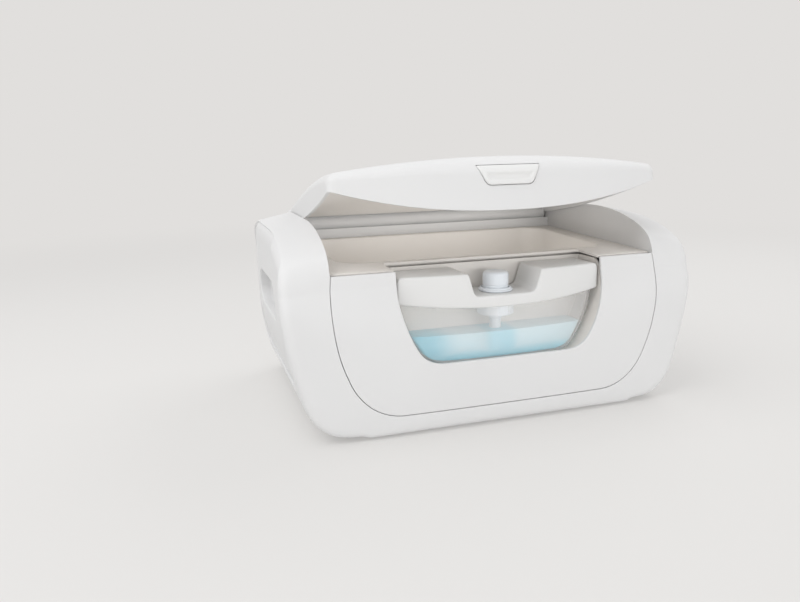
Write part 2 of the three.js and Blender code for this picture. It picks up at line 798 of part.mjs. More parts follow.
function buildCover() {
  const inside = coverForm(-coverWall, overrun)
    .subtract(prismY(notchOutline(coverWall), bodyFront - overrun, cradleRear + overrun));
  return coverForm(0)
    .subtract(inside)
    .subtract(prismY(notchOutline(0), bodyFront - overrun, cradleRear + overrun))
    .subtract(rodZ(0, pumpY, pumpBodyDiameter + 2 * gap, coverBottomMiddle, coverTop));
}

function buildTank() {
  const form = (inset, top) => {
    const plan = bowedPlan(tankHalf - inset, tankFront + inset, tankRear - inset);
    return prismY(tankOutline(-inset, top), bodyFront, cradleRear).intersect(prismZ(plan, 0, crestHeight));
  };
  return form(0, tankTop)
    .subtract(form(tankWall, tankTop + overrun))
    .subtract(coverForm(gap).subtract(coverForm(-coverWall - gap, overrun)));
}

// Lid, worked out in its own frame

const lidHalf = earHalf - lidSideGap;
const lidCrestShare = 0.62;
const lipStartShares = [0.72, 0.94];
const lipPower = 2.8;

// Height lost to a rounded edge of the given radius, at a distance from that edge
function edgeFall(distance, radius) {
  if (distance >= radius) return 0;
  const along = radius - Math.max(distance, 0);
  return radius - Math.sqrt(radius * radius - along * along);
}

// Rise from the barrel to the crest, then a gentle fall to the front edge
function lidProfile(forward, crest, drop) {
  const crestAt = lidCrestShare * lidReach;
  if (forward < crestAt) {
    return barrelRadius + (crest - barrelRadius) * Math.sin((Math.PI / 2) * Math.max(forward / crestAt, 0));
  }
  return crest - drop * ((forward - crestAt) / (lidReach - crestAt)) ** 2;
}

function lidTop(x, forward, inset) {
  const half = lidHalf - inset;
  const across = Math.min(Math.abs(x) / half, 1);
  const side = lidProfile(forward, lidSideTop, lidSideDrop);
  const middle = lidProfile(forward, lidCrest, lidCrestDrop);
  const frontRound = lidSideRound + (lidFrontRound - lidSideRound) * (1 - across ** 2);
  const sideFall = edgeFall(half - Math.abs(x), lidSideRound);
  const frontFall = edgeFall(lidFront(x, inset) - forward, frontRound);
  return side + (middle - side) * (1 - across ** 2) - inset - Math.hypot(sideFall, frontFall);
}

function lidFront(x, inset) {
  const half = lidHalf - inset;
  const across = Math.min(Math.abs(x) / half, 1);
  return lidReach - inset - lidBow * across ** 2 - edgeFall(half - Math.abs(x), lidCornerRound);
}

function lidLower(x, forward) {
  const across = Math.min(Math.abs(x) / lidHalf, 1);
  const along = Math.min(Math.max(forward / lidReach, 0), 1);
  const line = lidSideLower * Math.sin(Math.PI * along ** 0.7) + lidTipLower * along ** 4;
  const [start, end] = lipStartShares;
  const ramp = THREE.MathUtils.smoothstep(along, start, end);
  return line + (lidLipLower - lidTipLower) * (1 - across ** lipPower) * ramp;
}

// Closed body under the lid's top surface, from a distance in front of the hinge axis
function lidForm(inset, from, lower, acrossSteps, alongSteps) {
  const geometry = new THREE.BoxGeometry(2, 1, 1, acrossSteps, alongSteps, 1);
  const place = geometry.attributes.position;
  const half = lidHalf - inset;
  for (let i = 0; i < place.count; i += 1) {
    const x = half * Math.sin((Math.PI / 2) * place.getX(i));
    const share = Math.sin((Math.PI / 2) * (0.5 - place.getY(i)));
    const forward = from + (lidFront(x, inset) - from) * share;
    const low = lower(x, forward);
    const height = place.getZ(i) > 0 ? Math.max(lidTop(x, forward, inset), low + gap) : low;
    place.setXYZ(i, x, -forward, height);
  }
  return toSolid(geometry);
}

function buttonOutline(grow) {
  const half = new THREE.Path();
  half.moveTo(0, buttonLow - grow);
  half.lineTo(buttonLowHalfWidth - buttonCorner + grow, buttonLow - grow);
  half.quadraticCurveTo(
    buttonLowHalfWidth + grow, buttonLow - grow, buttonLowHalfWidth + grow, buttonLow - grow + buttonCorner,
  );
  half.lineTo(buttonTopHalfWidth + grow, buttonTop + grow);
  half.lineTo(0, buttonTop + grow);
  return mirrored(half);
}

// Place of a point of the housing in the lid's frame, as forward distance and height
function inLidFrame(y, z, angle) {
  const turn = THREE.MathUtils.degToRad(angle);
  const back = hingeY - y;
  const rise = z - hingeHeight;
  return [back * Math.cos(turn) + rise * Math.sin(turn), rise * Math.cos(turn) - back * Math.sin(turn)];
}

function buildLid() {
  const floorOf = (x, forward) => lidLower(x, forward) - overrun;
  const cavityStart = barrelRadius + lidWall;
  const boreHalf = lidHalf - lidPinWall;
  let lid = lidForm(0, 0, lidLower, 24, 16).add(rodX(0, 0, 2 * barrelRadius, -lidHalf, lidHalf))
    .subtract(lidForm(lidWall, cavityStart, floorOf, 18, 12))
    .subtract(rodX(0, 0, 2 * (barrelRadius - lidWall), -boreHalf, boreHalf))
    .subtract(block(-boreHalf, boreHalf, -cavityStart - lidWall, 0, lidSideLower, linerRoof + lidWall))
    .subtract(prismY(buttonOutline(seamGap), -lidReach - overrun, -lidReach + lidFrontRound + overrun));
  for (const side of [-1, 1]) {
    const inner = lidHalf - hingePinLength + wall;
    const [from, to] = side > 0 ? [inner, lidHalf + overrun] : [-lidHalf - overrun, -inner];
    lid = lid.subtract(rodX(0, 0, hingePinDiameter + 2 * gap, from, to, smallRoundSteps));
  }
  return lid;
}

function buildButton() {
  return lidForm(-buttonProud, lidReach / 2, () => buttonLow - overrun, 24, 16)
    .intersect(prismY(buttonOutline(0), -lidReach - overrun, -lidReach + buttonDepth));
}

const tongueFront = -lidReach + buttonDepth + gap;
const tongueHalfWidth = (notchFloorWidth + notchTopWidth) / 4 - tongueSideGap;
const slotBack = tongueFront + tongueThickness + buttonTravel + runningGap;
const springPostStart = slotBack + latchSpringLength;
const springStart = tongueFront + tongueThickness + gap + latchSpringWire / 2;
const springRun = springPostStart - gap - latchSpringWire / 2 - springStart;

function buildTongue() {
  const tip = buttonLow - tongueReach;
  const back = tongueFront + tongueThickness;
  const shank = buttonLowHalfWidth - buttonCorner;
  return block(-tongueHalfWidth, tongueHalfWidth, tongueFront, back, tip, linerRoof - linerThickness - gap)
    .add(block(-shank, shank, tongueFront, back, tip, tongueTop));
}

function buildLiner() {
  const start = barrelRadius + lidWall + linerGap;
  const roof = linerRoof;
  const inset = lidWall + linerGap;
  const plate = lidForm(inset, start, () => roof - linerThickness, 18, 12)
    .intersect(block(-bodyHalf, bodyHalf, -lidReach, 0, roof - linerThickness, roof));
  const slotHalf = tongueHalfWidth + tongueSideGap;
  const [pressAt, pressTo] = inLidFrame(pumpY, headTop, lidClosedAngle);
  return plate
    .subtract(block(-slotHalf, slotHalf, -lidReach, slotBack, -overrun, overrun + roof))
    .add(rodZ(0, -pressAt, presserDiameter, pressTo + presserGap, roof - linerThickness / 2))
    .add(block(
      -springPostWidth / 2, springPostWidth / 2, springPostStart, springPostStart + springPostDepth,
      roof - linerThickness / 2, springPostTop,
    ));
}

add(group, "outer_shell", buildShell(), shellWhite, 0.45);
add(group, "front_panel", frontPanel, shellWhite, 0.42);
add(group, "side_panel_left", buildSidePanel(-1), shellWhite, 0.5);
add(group, "side_panel_right", buildSidePanel(1), shellWhite, 0.5);
add(group, "base_plate", buildBase(), tubGrey, 0.6);
for (const [place, x, y] of footPlaces) {
  add(group, `foot_${place}`, rodZ(x, y, footDiameter, 0, bodyBottom + footSink), "#8b8a88", 0.85);
}
for (const [place, x, y] of screwPlaces) {
  const seat = bodyBottom + screwHeadHeight;
  const screw = turned(x, y, [
    [0, bodyBottom], [screwHeadDiameter / 2, bodyBottom], [screwHeadDiameter / 2, seat],
    [screwDiameter / 2, seat], [screwDiameter / 2, seat + screwLength], [0, seat + screwLength],
  ], smallRoundSteps);
  add(group, `base_screw_${place}`, screw, "#b9bbbd", 0.35, { metalness: 1 });
}
add(group, "wipe_tub", buildTub(), tubGrey, 0.5);
add(group, "tank_cradle", buildCradle(), tubGrey, 0.5);

// Heater under the tub

const spreaderTop = tubFloor - gap;
const filmTop = spreaderTop - spreaderThickness - gap;
const tubMiddleY = (tubFront + tubRear) / 2;
const plateHalf = (inset) => [spreaderWidth / 2 - inset, spreaderDepth / 2 - inset];

function buildPad() {
  const [halfWidth, halfDepth] = plateHalf(-padMargin);
  const front = tubMiddleY - halfDepth;
  return block(-halfWidth, halfWidth, front, tubMiddleY + halfDepth, padBottom, padBottom + padThickness)
    .subtract(rodZ(thermostatX, tubMiddleY, thermostatDiameter + 2 * runningGap, 0, filmTop))
    .subtract(block(
      fuseX - fuseLength / 2 - runningGap, fuseX + fuseLength / 2 + runningGap,
      tubMiddleY - fuseDiameter / 2 - runningGap, tubMiddleY + fuseDiameter / 2 + runningGap, 0, filmTop,
    ));
}

const [spreaderX, spreaderY] = plateHalf(0);
const [filmX, filmY] = plateHalf(filmInset);
const filmBottom = filmTop - filmThickness;
add(group, "heat_spreader", block(
  -spreaderX, spreaderX, tubMiddleY - spreaderY, tubMiddleY + spreaderY,
  spreaderTop - spreaderThickness, spreaderTop,
), "#c4c6c8", 0.35, { metalness: 1 });
add(group, "heater_film", block(
  -filmX, filmX, tubMiddleY - filmY, tubMiddleY + filmY, filmBottom, filmTop,
).add(block(
  heaterLeadX - filmTailWidth / 2, heaterLeadX + filmTailWidth / 2, tubMiddleY, filmTailEnd,
  filmBottom, filmTop,
)), "#c97a2c", 0.5);
add(group, "insulation_pad", buildPad(), "#5f6163", 0.95);
add(group, "thermostat", rodZ(
  thermostatX, tubMiddleY, thermostatDiameter, filmBottom - gap - thermostatHeight, filmBottom - gap,
), "#2f3032", 0.5);
add(group, "thermal_fuse", rodX(
  tubMiddleY, filmBottom - gap - fuseDiameter / 2, fuseDiameter,
  fuseX - fuseLength / 2, fuseX + fuseLength / 2,
), "#b8975a", 0.4);
add(group, "circuit_board", block(
  boardX - boardLength / 2, boardX + boardLength / 2, boardY - boardDepth / 2, boardY + boardDepth / 2,
  boardBottom, boardBottom + boardThickness,
), "#2f6b45", 0.55);

function buildInlet() {
  const rear = bodyRear - inletRecess;
  return block(
    inletX - inletWidth / 2, inletX + inletWidth / 2, rear - inletDepth, rear,
    inletHeight - inletBody / 2, inletHeight + inletBody / 2,
  )
    .subtract(rodY(inletX, inletHeight, inletBore, rear - inletDepth + inletBore / 2, rear + overrun))
    .add(rodY(inletX, inletHeight, leadDiameter, rear - inletDepth + inletBore / 4, rear - inletRecess));
}

add(group, "dc_inlet", buildInlet(), "#26272a", 0.5);
for (const [sign, side] of [["positive", -1], ["negative", 1]]) {
  const boardTop = boardBottom + boardThickness + gap;
  const supplyX = inletX + side * leadPitch / 2;
  const back = bodyRear - inletRecess - inletDepth - gap;
  const landing = boardY + boardDepth / 2 - leadInset - leadPitch / 2;
  const bow = leadDiameter * 2;
  const route = [
    new THREE.Vector3(supplyX, back, inletHeight),
    new THREE.Vector3(supplyX, back - leadDiameter, inletHeight),
    new THREE.Vector3(supplyX, landing + bow / 2, inletHeight - bow / 2),
    new THREE.Vector3(supplyX, landing, inletHeight - bow),
    new THREE.Vector3(supplyX, landing, boardTop),
  ];
  const color = side < 0 ? "#b2302a" : "#232426";
  add(group, `inlet_lead_${sign}`, tubeAlong(route, leadDiameter, 12, 8), color, 0.55);
  const heaterX = heaterLeadX + side * leadPitch / 2;
  const lead = rodZ(heaterX, filmTailEnd - leadInset, leadDiameter, boardTop, filmBottom - gap, 8);
  add(group, `heater_lead_${sign}`, lead, "#d8d4c8", 0.55);
}

// Water tank with its cover and pump

add(group, "water_tank", buildTank(), "#dfe6e6", 0.08, { transparent: true, opacity: 0.4 });
add(group, "tank_cover", buildCover(), shellWhite, 0.42);
const boreRadius = headDiameter / 2 + runningGap;
const flangeBottom = notchFloor + gap;
const inletHoleRadius = dipTubeDiameter / 6;
add(group, "pump_body", turned(0, pumpY, [
  [inletHoleRadius, pumpBodyBottom], [pumpBodyDiameter / 2, pumpBodyBottom],
  [pumpBodyDiameter / 2, flangeBottom],
  [pumpFlangeDiameter / 2, flangeBottom], [pumpFlangeDiameter / 2, flangeBottom + pumpFlangeThickness],
  [boreRadius, flangeBottom + pumpFlangeThickness], [boreRadius, pumpBodyBottom + pumpFloor],
  [inletHoleRadius, pumpBodyBottom + pumpFloor], [inletHoleRadius, pumpBodyBottom],
]), "#e8ebec", 0.4);
const pumpHead = turned(0, pumpY, [
  [0, headBottom], [headDiameter / 2, headBottom], [headDiameter / 2, headTop - headDome],
  [headDiameter / 2 - headDome / 3, headTop - headDome / 3],
  [headDiameter / 2 - headDome, headTop], [0, headTop],
]).subtract(rodY(
  0, headTop - headDome - nozzleDiameter, nozzleDiameter, pumpY + headDiameter / 2 - nozzleDepth, coverRear,
));
add(group, "pump_head", pumpHead, "#edf1f4", 0.35);
const springFloor = pumpBodyBottom + pumpFloor + gap + springWire / 2;
const springRoof = headBottom - gap - springWire / 2;
const pumpSpring = tubeAlong(
  helixPoints(springTurns, springDiameter, springRoof - springFloor, 8), springWire, springTurns * 8, 5,
);
pumpSpring.translate(0, pumpY, springFloor);
add(group, "pump_spring", pumpSpring, "#c9cbce", 0.3, { metalness: 1 });
const tubeBore = dipTubeDiameter / 2 - dipTubeDiameter / 6;
add(group, "dip_tube", turned(0, pumpY, [
  [tubeBore, dipTubeBottom], [dipTubeDiameter / 2, dipTubeBottom],
  [dipTubeDiameter / 2, pumpBodyBottom - gap],
  [tubeBore, pumpBodyBottom - gap], [tubeBore, dipTubeBottom],
], smallRoundSteps), "#e3e8ea", 0.3);

// Lid, hung at the angle at which it stands

const lidGroup = new THREE.Group();
lidGroup.position.set(0, hingeY, hingeHeight);
lidGroup.rotation.x = -THREE.MathUtils.degToRad(lidOpenAngle);
group.add(lidGroup);
add(lidGroup, "lid_shell", buildLid(), shellWhite, 0.4);
add(lidGroup, "lid_liner", buildLiner(), tubGrey, 0.5);
add(lidGroup, "latch_button", buildButton(), shellWhite, 0.4);
add(lidGroup, "latch_tongue", buildTongue(), tubGrey, 0.5);
const latchSpring = tubeAlong(
  helixPoints(latchSpringTurns, latchSpringDiameter, springRun, 8),
  latchSpringWire, latchSpringTurns * 8, 5,
);
latchSpring.rotateX(-Math.PI / 2);
latchSpring.translate(0, springStart, linerRoof + latchSpringDiameter / 2 + latchSpringWire);
add(lidGroup, "latch_spring", latchSpring, "#c9cbce", 0.3, { metalness: 1 });
for (const [place, side] of [["left", -1], ["right", 1]]) {
  const outer = earHalf + wall;
  const ends = side > 0 ? [outer - hingePinLength, outer] : [-outer, hingePinLength - outer];
  const pin = rodX(hingeY, hingeHeight, hingePinDiameter, ...ends, smallRoundSteps);
  add(group, `hinge_pin_${place}`, pin, "#b9bbbd", 0.3, { metalness: 1 });
}

const extent = new THREE.Box3().setFromObject(group, true);
group.position.y = -(extent.min.y + extent.max.y) / 2;

export default group;
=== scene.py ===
# Baby wipe warmer: white moulded housing with two ears, a domed lid on a rear hinge,
# a clear water tank behind a window, and the mist pump on its cover.
import json
import math

import bpy
import bmesh
import numpy as np
from mathutils import Matrix, Vector


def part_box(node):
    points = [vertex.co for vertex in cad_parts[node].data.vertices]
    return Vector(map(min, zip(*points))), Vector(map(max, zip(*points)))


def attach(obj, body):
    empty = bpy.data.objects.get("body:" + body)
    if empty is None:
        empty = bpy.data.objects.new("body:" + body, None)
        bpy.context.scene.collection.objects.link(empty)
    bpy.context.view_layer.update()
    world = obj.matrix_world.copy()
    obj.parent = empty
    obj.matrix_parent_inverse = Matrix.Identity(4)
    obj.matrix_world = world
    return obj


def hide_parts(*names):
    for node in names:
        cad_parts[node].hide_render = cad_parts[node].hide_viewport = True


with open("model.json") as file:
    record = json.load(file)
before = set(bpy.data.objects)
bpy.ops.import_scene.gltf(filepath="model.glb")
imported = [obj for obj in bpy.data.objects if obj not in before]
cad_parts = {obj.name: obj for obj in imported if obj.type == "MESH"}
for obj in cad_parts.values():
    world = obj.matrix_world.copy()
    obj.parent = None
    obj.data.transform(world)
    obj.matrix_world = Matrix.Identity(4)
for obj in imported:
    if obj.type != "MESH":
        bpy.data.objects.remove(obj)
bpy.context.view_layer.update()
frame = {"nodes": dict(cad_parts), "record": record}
mm = 0.001
tiny = 1e-9  # a length that counts as zero
hair = 0.01  # mm, too small a step to show
weld = 0.02  # mm, points closer than this become one

# Every shape below is worked out in millimetres from the table up, with y = 0 at the plane of
# the window's edge, and then shifted to where the housing stands in the frame. The blends are
# the widths over which the outlines meet; sky and root are where the front outline ends above
# and below the object; the inside values are planes from which rays go out to the surface
housing = {
    "half": 161, "front": -5, "rear": 204, "bottom": 1, "bottomHalf": 110, "wall": 2.2,
    "knee": (151, 38), "widest": 98, "crest": 147.5, "earSlope": 0.2, "slopeFrom": (92, 118),
    "faceBow": 6, "straight": 45, "brow": (5, 108), "temple": (12, 128),
    "crestStart": 90, "crestEnd": 155, "rearTop": 104, "rearCorner": 46, "soleRadius": 9,
    "earGap": 126.3, "deckFront": 116.7, "deckRear": 121.9,
    "blendFrom": (112, 126), "edgeBlend": (8, 9), "cornerBlend": (2, 9),
    "sky": 30, "root": 60, "spread": 12, "spreadBow": 1.16, "spreadEnd": (60, 62),
    "insideHalf": 100, "insideFront": 60, "insideRear": 150, "templeSteps": 40, "planSteps": 30,
}
hinge = {"y": 184, "z": 134.5, "barrel": 12.5, "openAngle": 10.9}
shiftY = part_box("outer_shell")[0].y / mm - housing["front"]
mirrorFlat, mirrorX = np.array([-1, 1]), np.array([-1, 1, 1])


# Meshes

def linearColor(code):
    # sRGB hex to linear light
    out = []
    for start in (1, 3, 5):
        value = int(code[start:start + 2], 16) / 255
        out.append(value / 12.92 if value <= 0.04045 else ((value + 0.055) / 1.055) ** 2.4)
    return (*out, 1)


def gridFaces(rows, columns, wrapColumns=False, closeEnd=False, offset=0):
    # quads of a rows x columns grid of points, numbered row by row; closeEnd fills the last row
    index = np.arange(rows * columns).reshape(rows, columns)
    end = index[-1].copy()
    if wrapColumns:
        index = np.hstack([index, index[:, :1]])
    quads = np.stack([index[:-1, :-1], index[1:, :-1], index[1:, 1:], index[:-1, 1:]], -1).reshape(-1, 4)
    faces = (quads + offset).tolist()
    return faces + [(end + offset).tolist()] if closeEnd else faces


# for a patch whose rows are rings, with the last one left open or filled
openRings, closedRings = {"wrapColumns": True}, {"wrapColumns": True, "closeEnd": True}


def makePiece(name, patches, facing=None, centre=None):
    # patches are (points, options) with points in mm as rows x columns x 3; they become one
    # welded mesh in metres, whose faces look along facing or away from centre
    points, faces, offset = [], [], 0
    for grid, options in patches:
        rows, columns = grid.shape[:2]
        points.append(grid.reshape(-1, 3))
        faces += gridFaces(rows, columns, offset=offset, **options)
        offset += rows * columns
    place = (np.concatenate(points) + np.array([0, shiftY, 0])) * mm
    mesh = bpy.data.meshes.new(name)
    mesh.from_pydata(place.tolist(), [], faces)
    build = bmesh.new()
    build.from_mesh(mesh)
    bmesh.ops.remove_doubles(build, verts=build.verts, dist=weld * mm)
    bmesh.ops.dissolve_degenerate(build, edges=build.edges, dist=weld * mm / 4)
    bmesh.ops.recalc_face_normals(build, faces=build.faces)
    way = Vector(facing or (0, 0, 0))
    middle = Vector(centre or (0, 0, 0)) * mm + Vector((0, shiftY * mm, 0))
    score = sum(f.calc_area() * f.normal.dot(way if facing else f.calc_center_median() - middle)
                for f in build.faces)
    if score < 0:
        bmesh.ops.reverse_faces(build, faces=build.faces)
    build.to_mesh(mesh)
    build.free()
    piece = bpy.data.objects.new(name, mesh)
    bpy.context.scene.collection.objects.link(piece)
    return piece


def thicken(piece, thickness):
    # wall behind the surface
    solid = piece.modifiers.new("wall", "SOLIDIFY")
    solid.thickness = thickness * mm
    solid.offset = -1
    solid.use_rim = True


def cutHole(piece, cutter):
    # takes the cutter's space out of the piece
    cut = piece.modifiers.new("hole", "BOOLEAN")
    cut.operation = "DIFFERENCE"
    cut.solver = "EXACT"
    cut.object = cutter


def softenEdges(piece, width, angle=40, segments=3):
    # rounds the edges that turn by more than angle
    edge = piece.modifiers.new("edges", "BEVEL")
    edge.width = width * mm
    edge.segments = segments
    edge.limit_method = "ANGLE"
    edge.angle_limit = math.radians(angle)
    edge.use_clamp_overlap = True


def finishPiece(piece, body, material, replaces=(), sharpAngle=50, cutters=()):
    # bakes the modifiers, shades smooth up to sharpAngle and hangs the piece on its body
    mesh = bpy.data.meshes.new_from_object(piece.evaluated_get(bpy.context.evaluated_depsgraph_get()))
    piece.modifiers.clear()
    piece.data = mesh
    for cutter in cutters:
        bpy.data.objects.remove(cutter)
    mesh.polygons.foreach_set("use_smooth", np.ones(len(mesh.polygons), bool))
    mesh.set_sharp_from_angle(angle=math.radians(sharpAngle))
    mesh.materials.clear()
    mesh.materials.append(material)
    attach(piece, body)
    if replaces:
        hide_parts(*replaces)
    print(piece.name, len(mesh.polygons), "faces")


def turnedGrid(profile, y, around=48):
    # a profile of radius and height pairs, turned about an upright axis at y
    turn = np.linspace(0, 2 * math.pi, around + 1)[:-1]
    radius, height = profile[:, :1], profile[:, 1:]
    return np.stack([radius * np.cos(turn), y + radius * np.sin(turn), height + 0 * turn], -1)


def edgeFall(distance, radius):
    # depth lost to a quarter round, at a distance in from its edge
    along = np.clip(radius - distance, 0, radius)
    return radius - np.sqrt(radius * radius - along * along)


# Curves

def handleCurve(start, end, shares, count=24):
    # cubic curve whose two handles are shares of the step between its ends
    along = np.linspace(0, 1, count)[:, None]
    a, b = np.array(start, float), np.array(end, float)
    first = a + (b - a) * np.array(shares[:2])
    second = a + (b - a) * np.array(shares[2:])
    rest = 1 - along
    return rest ** 3 * a + 3 * rest ** 2 * along * first + 3 * rest * along ** 2 * second + along ** 3 * b


def softCorner(start, corner, end, count=14):
    # quadratic curve round a corner
    along = np.linspace(0, 1, count)[:, None]
    a, c, b = (np.array(p, float) for p in (start, corner, end))
    return (1 - along) ** 2 * a + 2 * (1 - along) * along * c + along ** 2 * b


def chain(*parts):
    # one polyline from points and runs of points, without repeats
    line = np.vstack([np.atleast_2d(np.array(p, float)) for p in parts])
    keep = np.r_[True, np.linalg.norm(np.diff(line, axis=0), axis=1) > tiny]
    return line[keep]


def closeLoop(right):
    # the right half of an outline, from axis to axis, with its mirror image
    return np.vstack([right, (right[1:-1] * mirrorFlat)[::-1]])


def bendMeasure(line, bendWeight):
    # length along a polyline, to which every bend adds its angle times bendWeight
    step = np.diff(line, axis=0)
    length = np.linalg.norm(step, axis=1)
    unit = step / np.maximum(length, tiny)[:, None]
    turn = np.r_[0, np.arccos(np.clip((unit[1:] * unit[:-1]).sum(1), -1, 1))]
    return np.r_[0, np.cumsum(length + bendWeight * turn)]


def resample(line, count, bendWeight=0.0):
    # even steps along a polyline, closer together where it bends
    measure = bendMeasure(line, bendWeight)
    wanted = np.linspace(0, measure[-1], count)
    return np.stack([np.interp(wanted, measure, line[:, k]) for k in range(line.shape[1])], -1)


def hermite(along):
    # 0 to 1 with a level start and end
    along = np.clip(along, 0, 1)
    return along * along * (3 - 2 * along)


# The housing's form: a front outline, a side outline and a plan, met with soft edges

keelShares, hullShares = (0.59, 0, 0.87, 0.33), (0.42, 0.28, 1, 0.55)
faceShares, browShares = (0, 0.4, 0.5, 0.72), (0.16, 0.5, 0.5, 0.78)
templeShares, rearShares = (0.09, 0.45, 0.5, 1), (0.62, 0, 1, 0.35)
# mm over which the distance tables reach
tableRange = {"x": (-2, 182), "y": (-30, 230), "z": (-20, 190)}


def frontOutline():
    # flat bottom, flaring sides up to the widest level, open above
    h = housing
    sky = h["crest"] + h["sky"]
    return closeLoop(chain(
        (0, -h["root"]), (h["bottomHalf"], -h["root"]), (h["bottomHalf"], h["bottom"]),
        handleCurve((h["bottomHalf"], h["bottom"]), h["knee"], keelShares),
        handleCurve(h["knee"], (h["half"], h["widest"]), hullShares), (h["half"], sky), (0, sky),
    ))


def sideOutline():
    # face, brow and temple up to the crest of the ears, then down the back
    h = housing
    front, rear, bottom, r = h["front"], h["rear"], h["bottom"], h["soleRadius"]
    return chain(
        softCorner((front + r, bottom), (front, bottom), (front, bottom + r)),
        (front, h["straight"]),
        handleCurve((front, h["straight"]), h["brow"], faceShares),
        handleCurve(h["brow"], h["temple"], browShares),
        handleCurve(h["temple"], (h["crestStart"], h["crest"]), templeShares, h["templeSteps"]),
        (h["crestEnd"], h["crest"]),
        handleCurve((h["crestEnd"], h["crest"]), (rear, h["rearTop"]), rearShares),
        (rear, bottom + r),
        softCorner((rear, bottom + r), (rear, bottom), (rear - r, bottom)),
    )


def planOutline():
    # bowed face, spread wide so that the front outline rules the sides, and round rear corners
    h = housing
    half, rear, r = h["half"], h["rear"], h["rearCorner"]
    wide = half + h["spread"]
    turn = np.linspace(0, math.pi / 2, h["planSteps"])
    corner = np.stack([half - r * (1 - np.cos(turn)), rear - r * (1 - np.sin(turn))], -1)
    bowed = (wide, h["front"] + h["faceBow"] * h["spreadBow"])
    return closeLoop(chain(
        softCorner((0, h["front"]), (half / 2, h["front"]), bowed, h["planSteps"]),
        (wide, h["spreadEnd"][0]), (half + hair, h["spreadEnd"][1]), corner, (0, rear),
    ))


def distanceField(outline, acrossRange, upRange, step=0.75):
    # signed distance to a closed outline, negative inside, on a table of points
    xs, ys = (np.arange(low, high + step, step) for low, high in (acrossRange, upRange))
    px, py = np.meshgrid(xs, ys, indexing="ij")
    nearest = np.full(px.shape, np.inf)
    inside = np.zeros(px.shape, bool)
    for a, b in zip(outline, np.roll(outline, -1, axis=0)):
        run = b - a
        along = np.clip(((px - a[0]) * run[0] + (py - a[1]) * run[1]) / max(run @ run, tiny), 0, 1)
        nearest = np.minimum(nearest, np.hypot(px - a[0] - along * run[0], py - a[1] - along * run[1]))
        if abs(run[1]) > tiny:
            inside ^= ((a[1] > py) != (b[1] > py)) & (px < a[0] + (py - a[1]) * run[0] / run[1])
    return xs[0], ys[0], step, np.where(inside, -nearest, nearest)


def lookUp(field, a, b):
    # value of a distance table between its points
    a0, b0, step, table = field
    fa = np.clip((a - a0) / step, 0, table.shape[0] - 1 - tiny)
    fb = np.clip((b - b0) / step, 0, table.shape[1] - 1 - tiny)
    ia, ib = fa.astype(int), fb.astype(int)
    ra, rb = fa - ia, fb - ib
    return ((table[ia, ib] * (1 - ra) + table[ia + 1, ib] * ra) * (1 - rb)
            + (table[ia, ib + 1] * (1 - ra) + table[ia + 1, ib + 1] * ra) * rb)


def softMax(a, b, reach):
    # the larger of two distances, rounded where they are within reach of each other
    near = np.maximum(reach - np.abs(a - b), 0) / reach
    return np.maximum(a, b) + near * near * reach / 4


frontField = distanceField(frontOutline(), tableRange["x"], tableRange["z"])
sideField = distanceField(sideOutline(), tableRange["y"], tableRange["z"])
planField = distanceField(planOutline(), tableRange["x"], tableRange["y"])


def hullDistance(x, y, z):
    # the side outline sinks outwards over the ears, so that their upper side slopes down, and
    # the edges are rounder above the deck than below it
    h = housing
    across = np.abs(x)
    low, high = h["slopeFrom"]
    sink = h["earSlope"] * np.maximum(across - h["earGap"], 0) * hermite((z - low) / (high - low))
    edge = np.interp(z, h["blendFrom"], h["edgeBlend"])
    corner = np.interp(z, h["blendFrom"], h["cornerBlend"])
    length = softMax(lookUp(sideField, y, z + sink), lookUp(planField, across, y), corner)
    return softMax(length, lookUp(frontField, across, z), edge)


def leaveLength(distance, shape, reach, halvings):
    # the two lengths between which each ray leaves a form, by halving
    near, far = np.zeros(shape), np.full(shape, reach)
    for _ in range(halvings):
        middle = (near + far) / 2
        inside = distance(middle[..., None]) < 0
        near, far = np.where(inside, middle, near), np.where(inside, far, middle)
    return near[..., None], far[..., None]


def castTo(surface, origin, direction, reach=200.0, halvings=20):
    # point where a ray from inside leaves a form
    def distance(length):
        return surface(*np.moveaxis(origin + direction * length, -1, 0))

    near, far = leaveLength(distance, origin.shape[:-1], reach, halvings)
    return origin + direction * ((near + far) / 2)


def castFlat(surface, angles, centre, reach=220.0, halvings=22):
    # the same in the side view, for a ray at each angle about a centre
    middle = np.array(centre, float)
    ray = np.stack([np.cos(angles), np.sin(angles)], -1)

    def distance(length):
        return surface(*np.moveaxis(middle + ray * length, -1, 0))

    return middle + ray * leaveLength(distance, angles.shape, reach, halvings)[0]


def spine(x, y, z):
    # points from coordinates of any shapes that fit together
    return np.stack(np.broadcast_arrays(x, y, z), -1).astype(float)


def castAlong(origin, direction):
    # rays all one way to the housing's surface
    return castTo(hullDistance, origin, np.zeros(origin.shape) + direction)


def deckAt(y):
    # height of the sloping deck
    h = housing
    return h["deckFront"] + (h["deckRear"] - h["deckFront"]) * y / (hinge["y"] - hinge["barrel"])


print("forms ready")


# Materials

def addNode(owner, kind, settings=None, links=None):
    # one node of a material or world, with its properties or input values, fed by the sockets
    # in links; inputs go by name or by number
    made = owner.node_tree.nodes.new(kind)
    for key, value in (settings or {}).items():
        if isinstance(key, int) or key in made.inputs:
            made.inputs[key].default_value = value
        else:
            setattr(made, key, value)
    for key, source in (links or {}).items():
        owner.node_tree.links.new(source, made.inputs[key])
    return made


def newMaterial(name):
    # an empty material, with the place on the piece that its patterns read
    material = bpy.data.materials.new(name)
    material.use_nodes = True
    material.node_tree.nodes.clear()
    return material, addNode(material, "ShaderNodeTexCoord").outputs["Object"]


# flowWidth in mm; wear is how far the roughness strays each way
plastic = {"flowWidth": 60, "wear": 0.05, "bump": 0.35, "ior": 1.53}


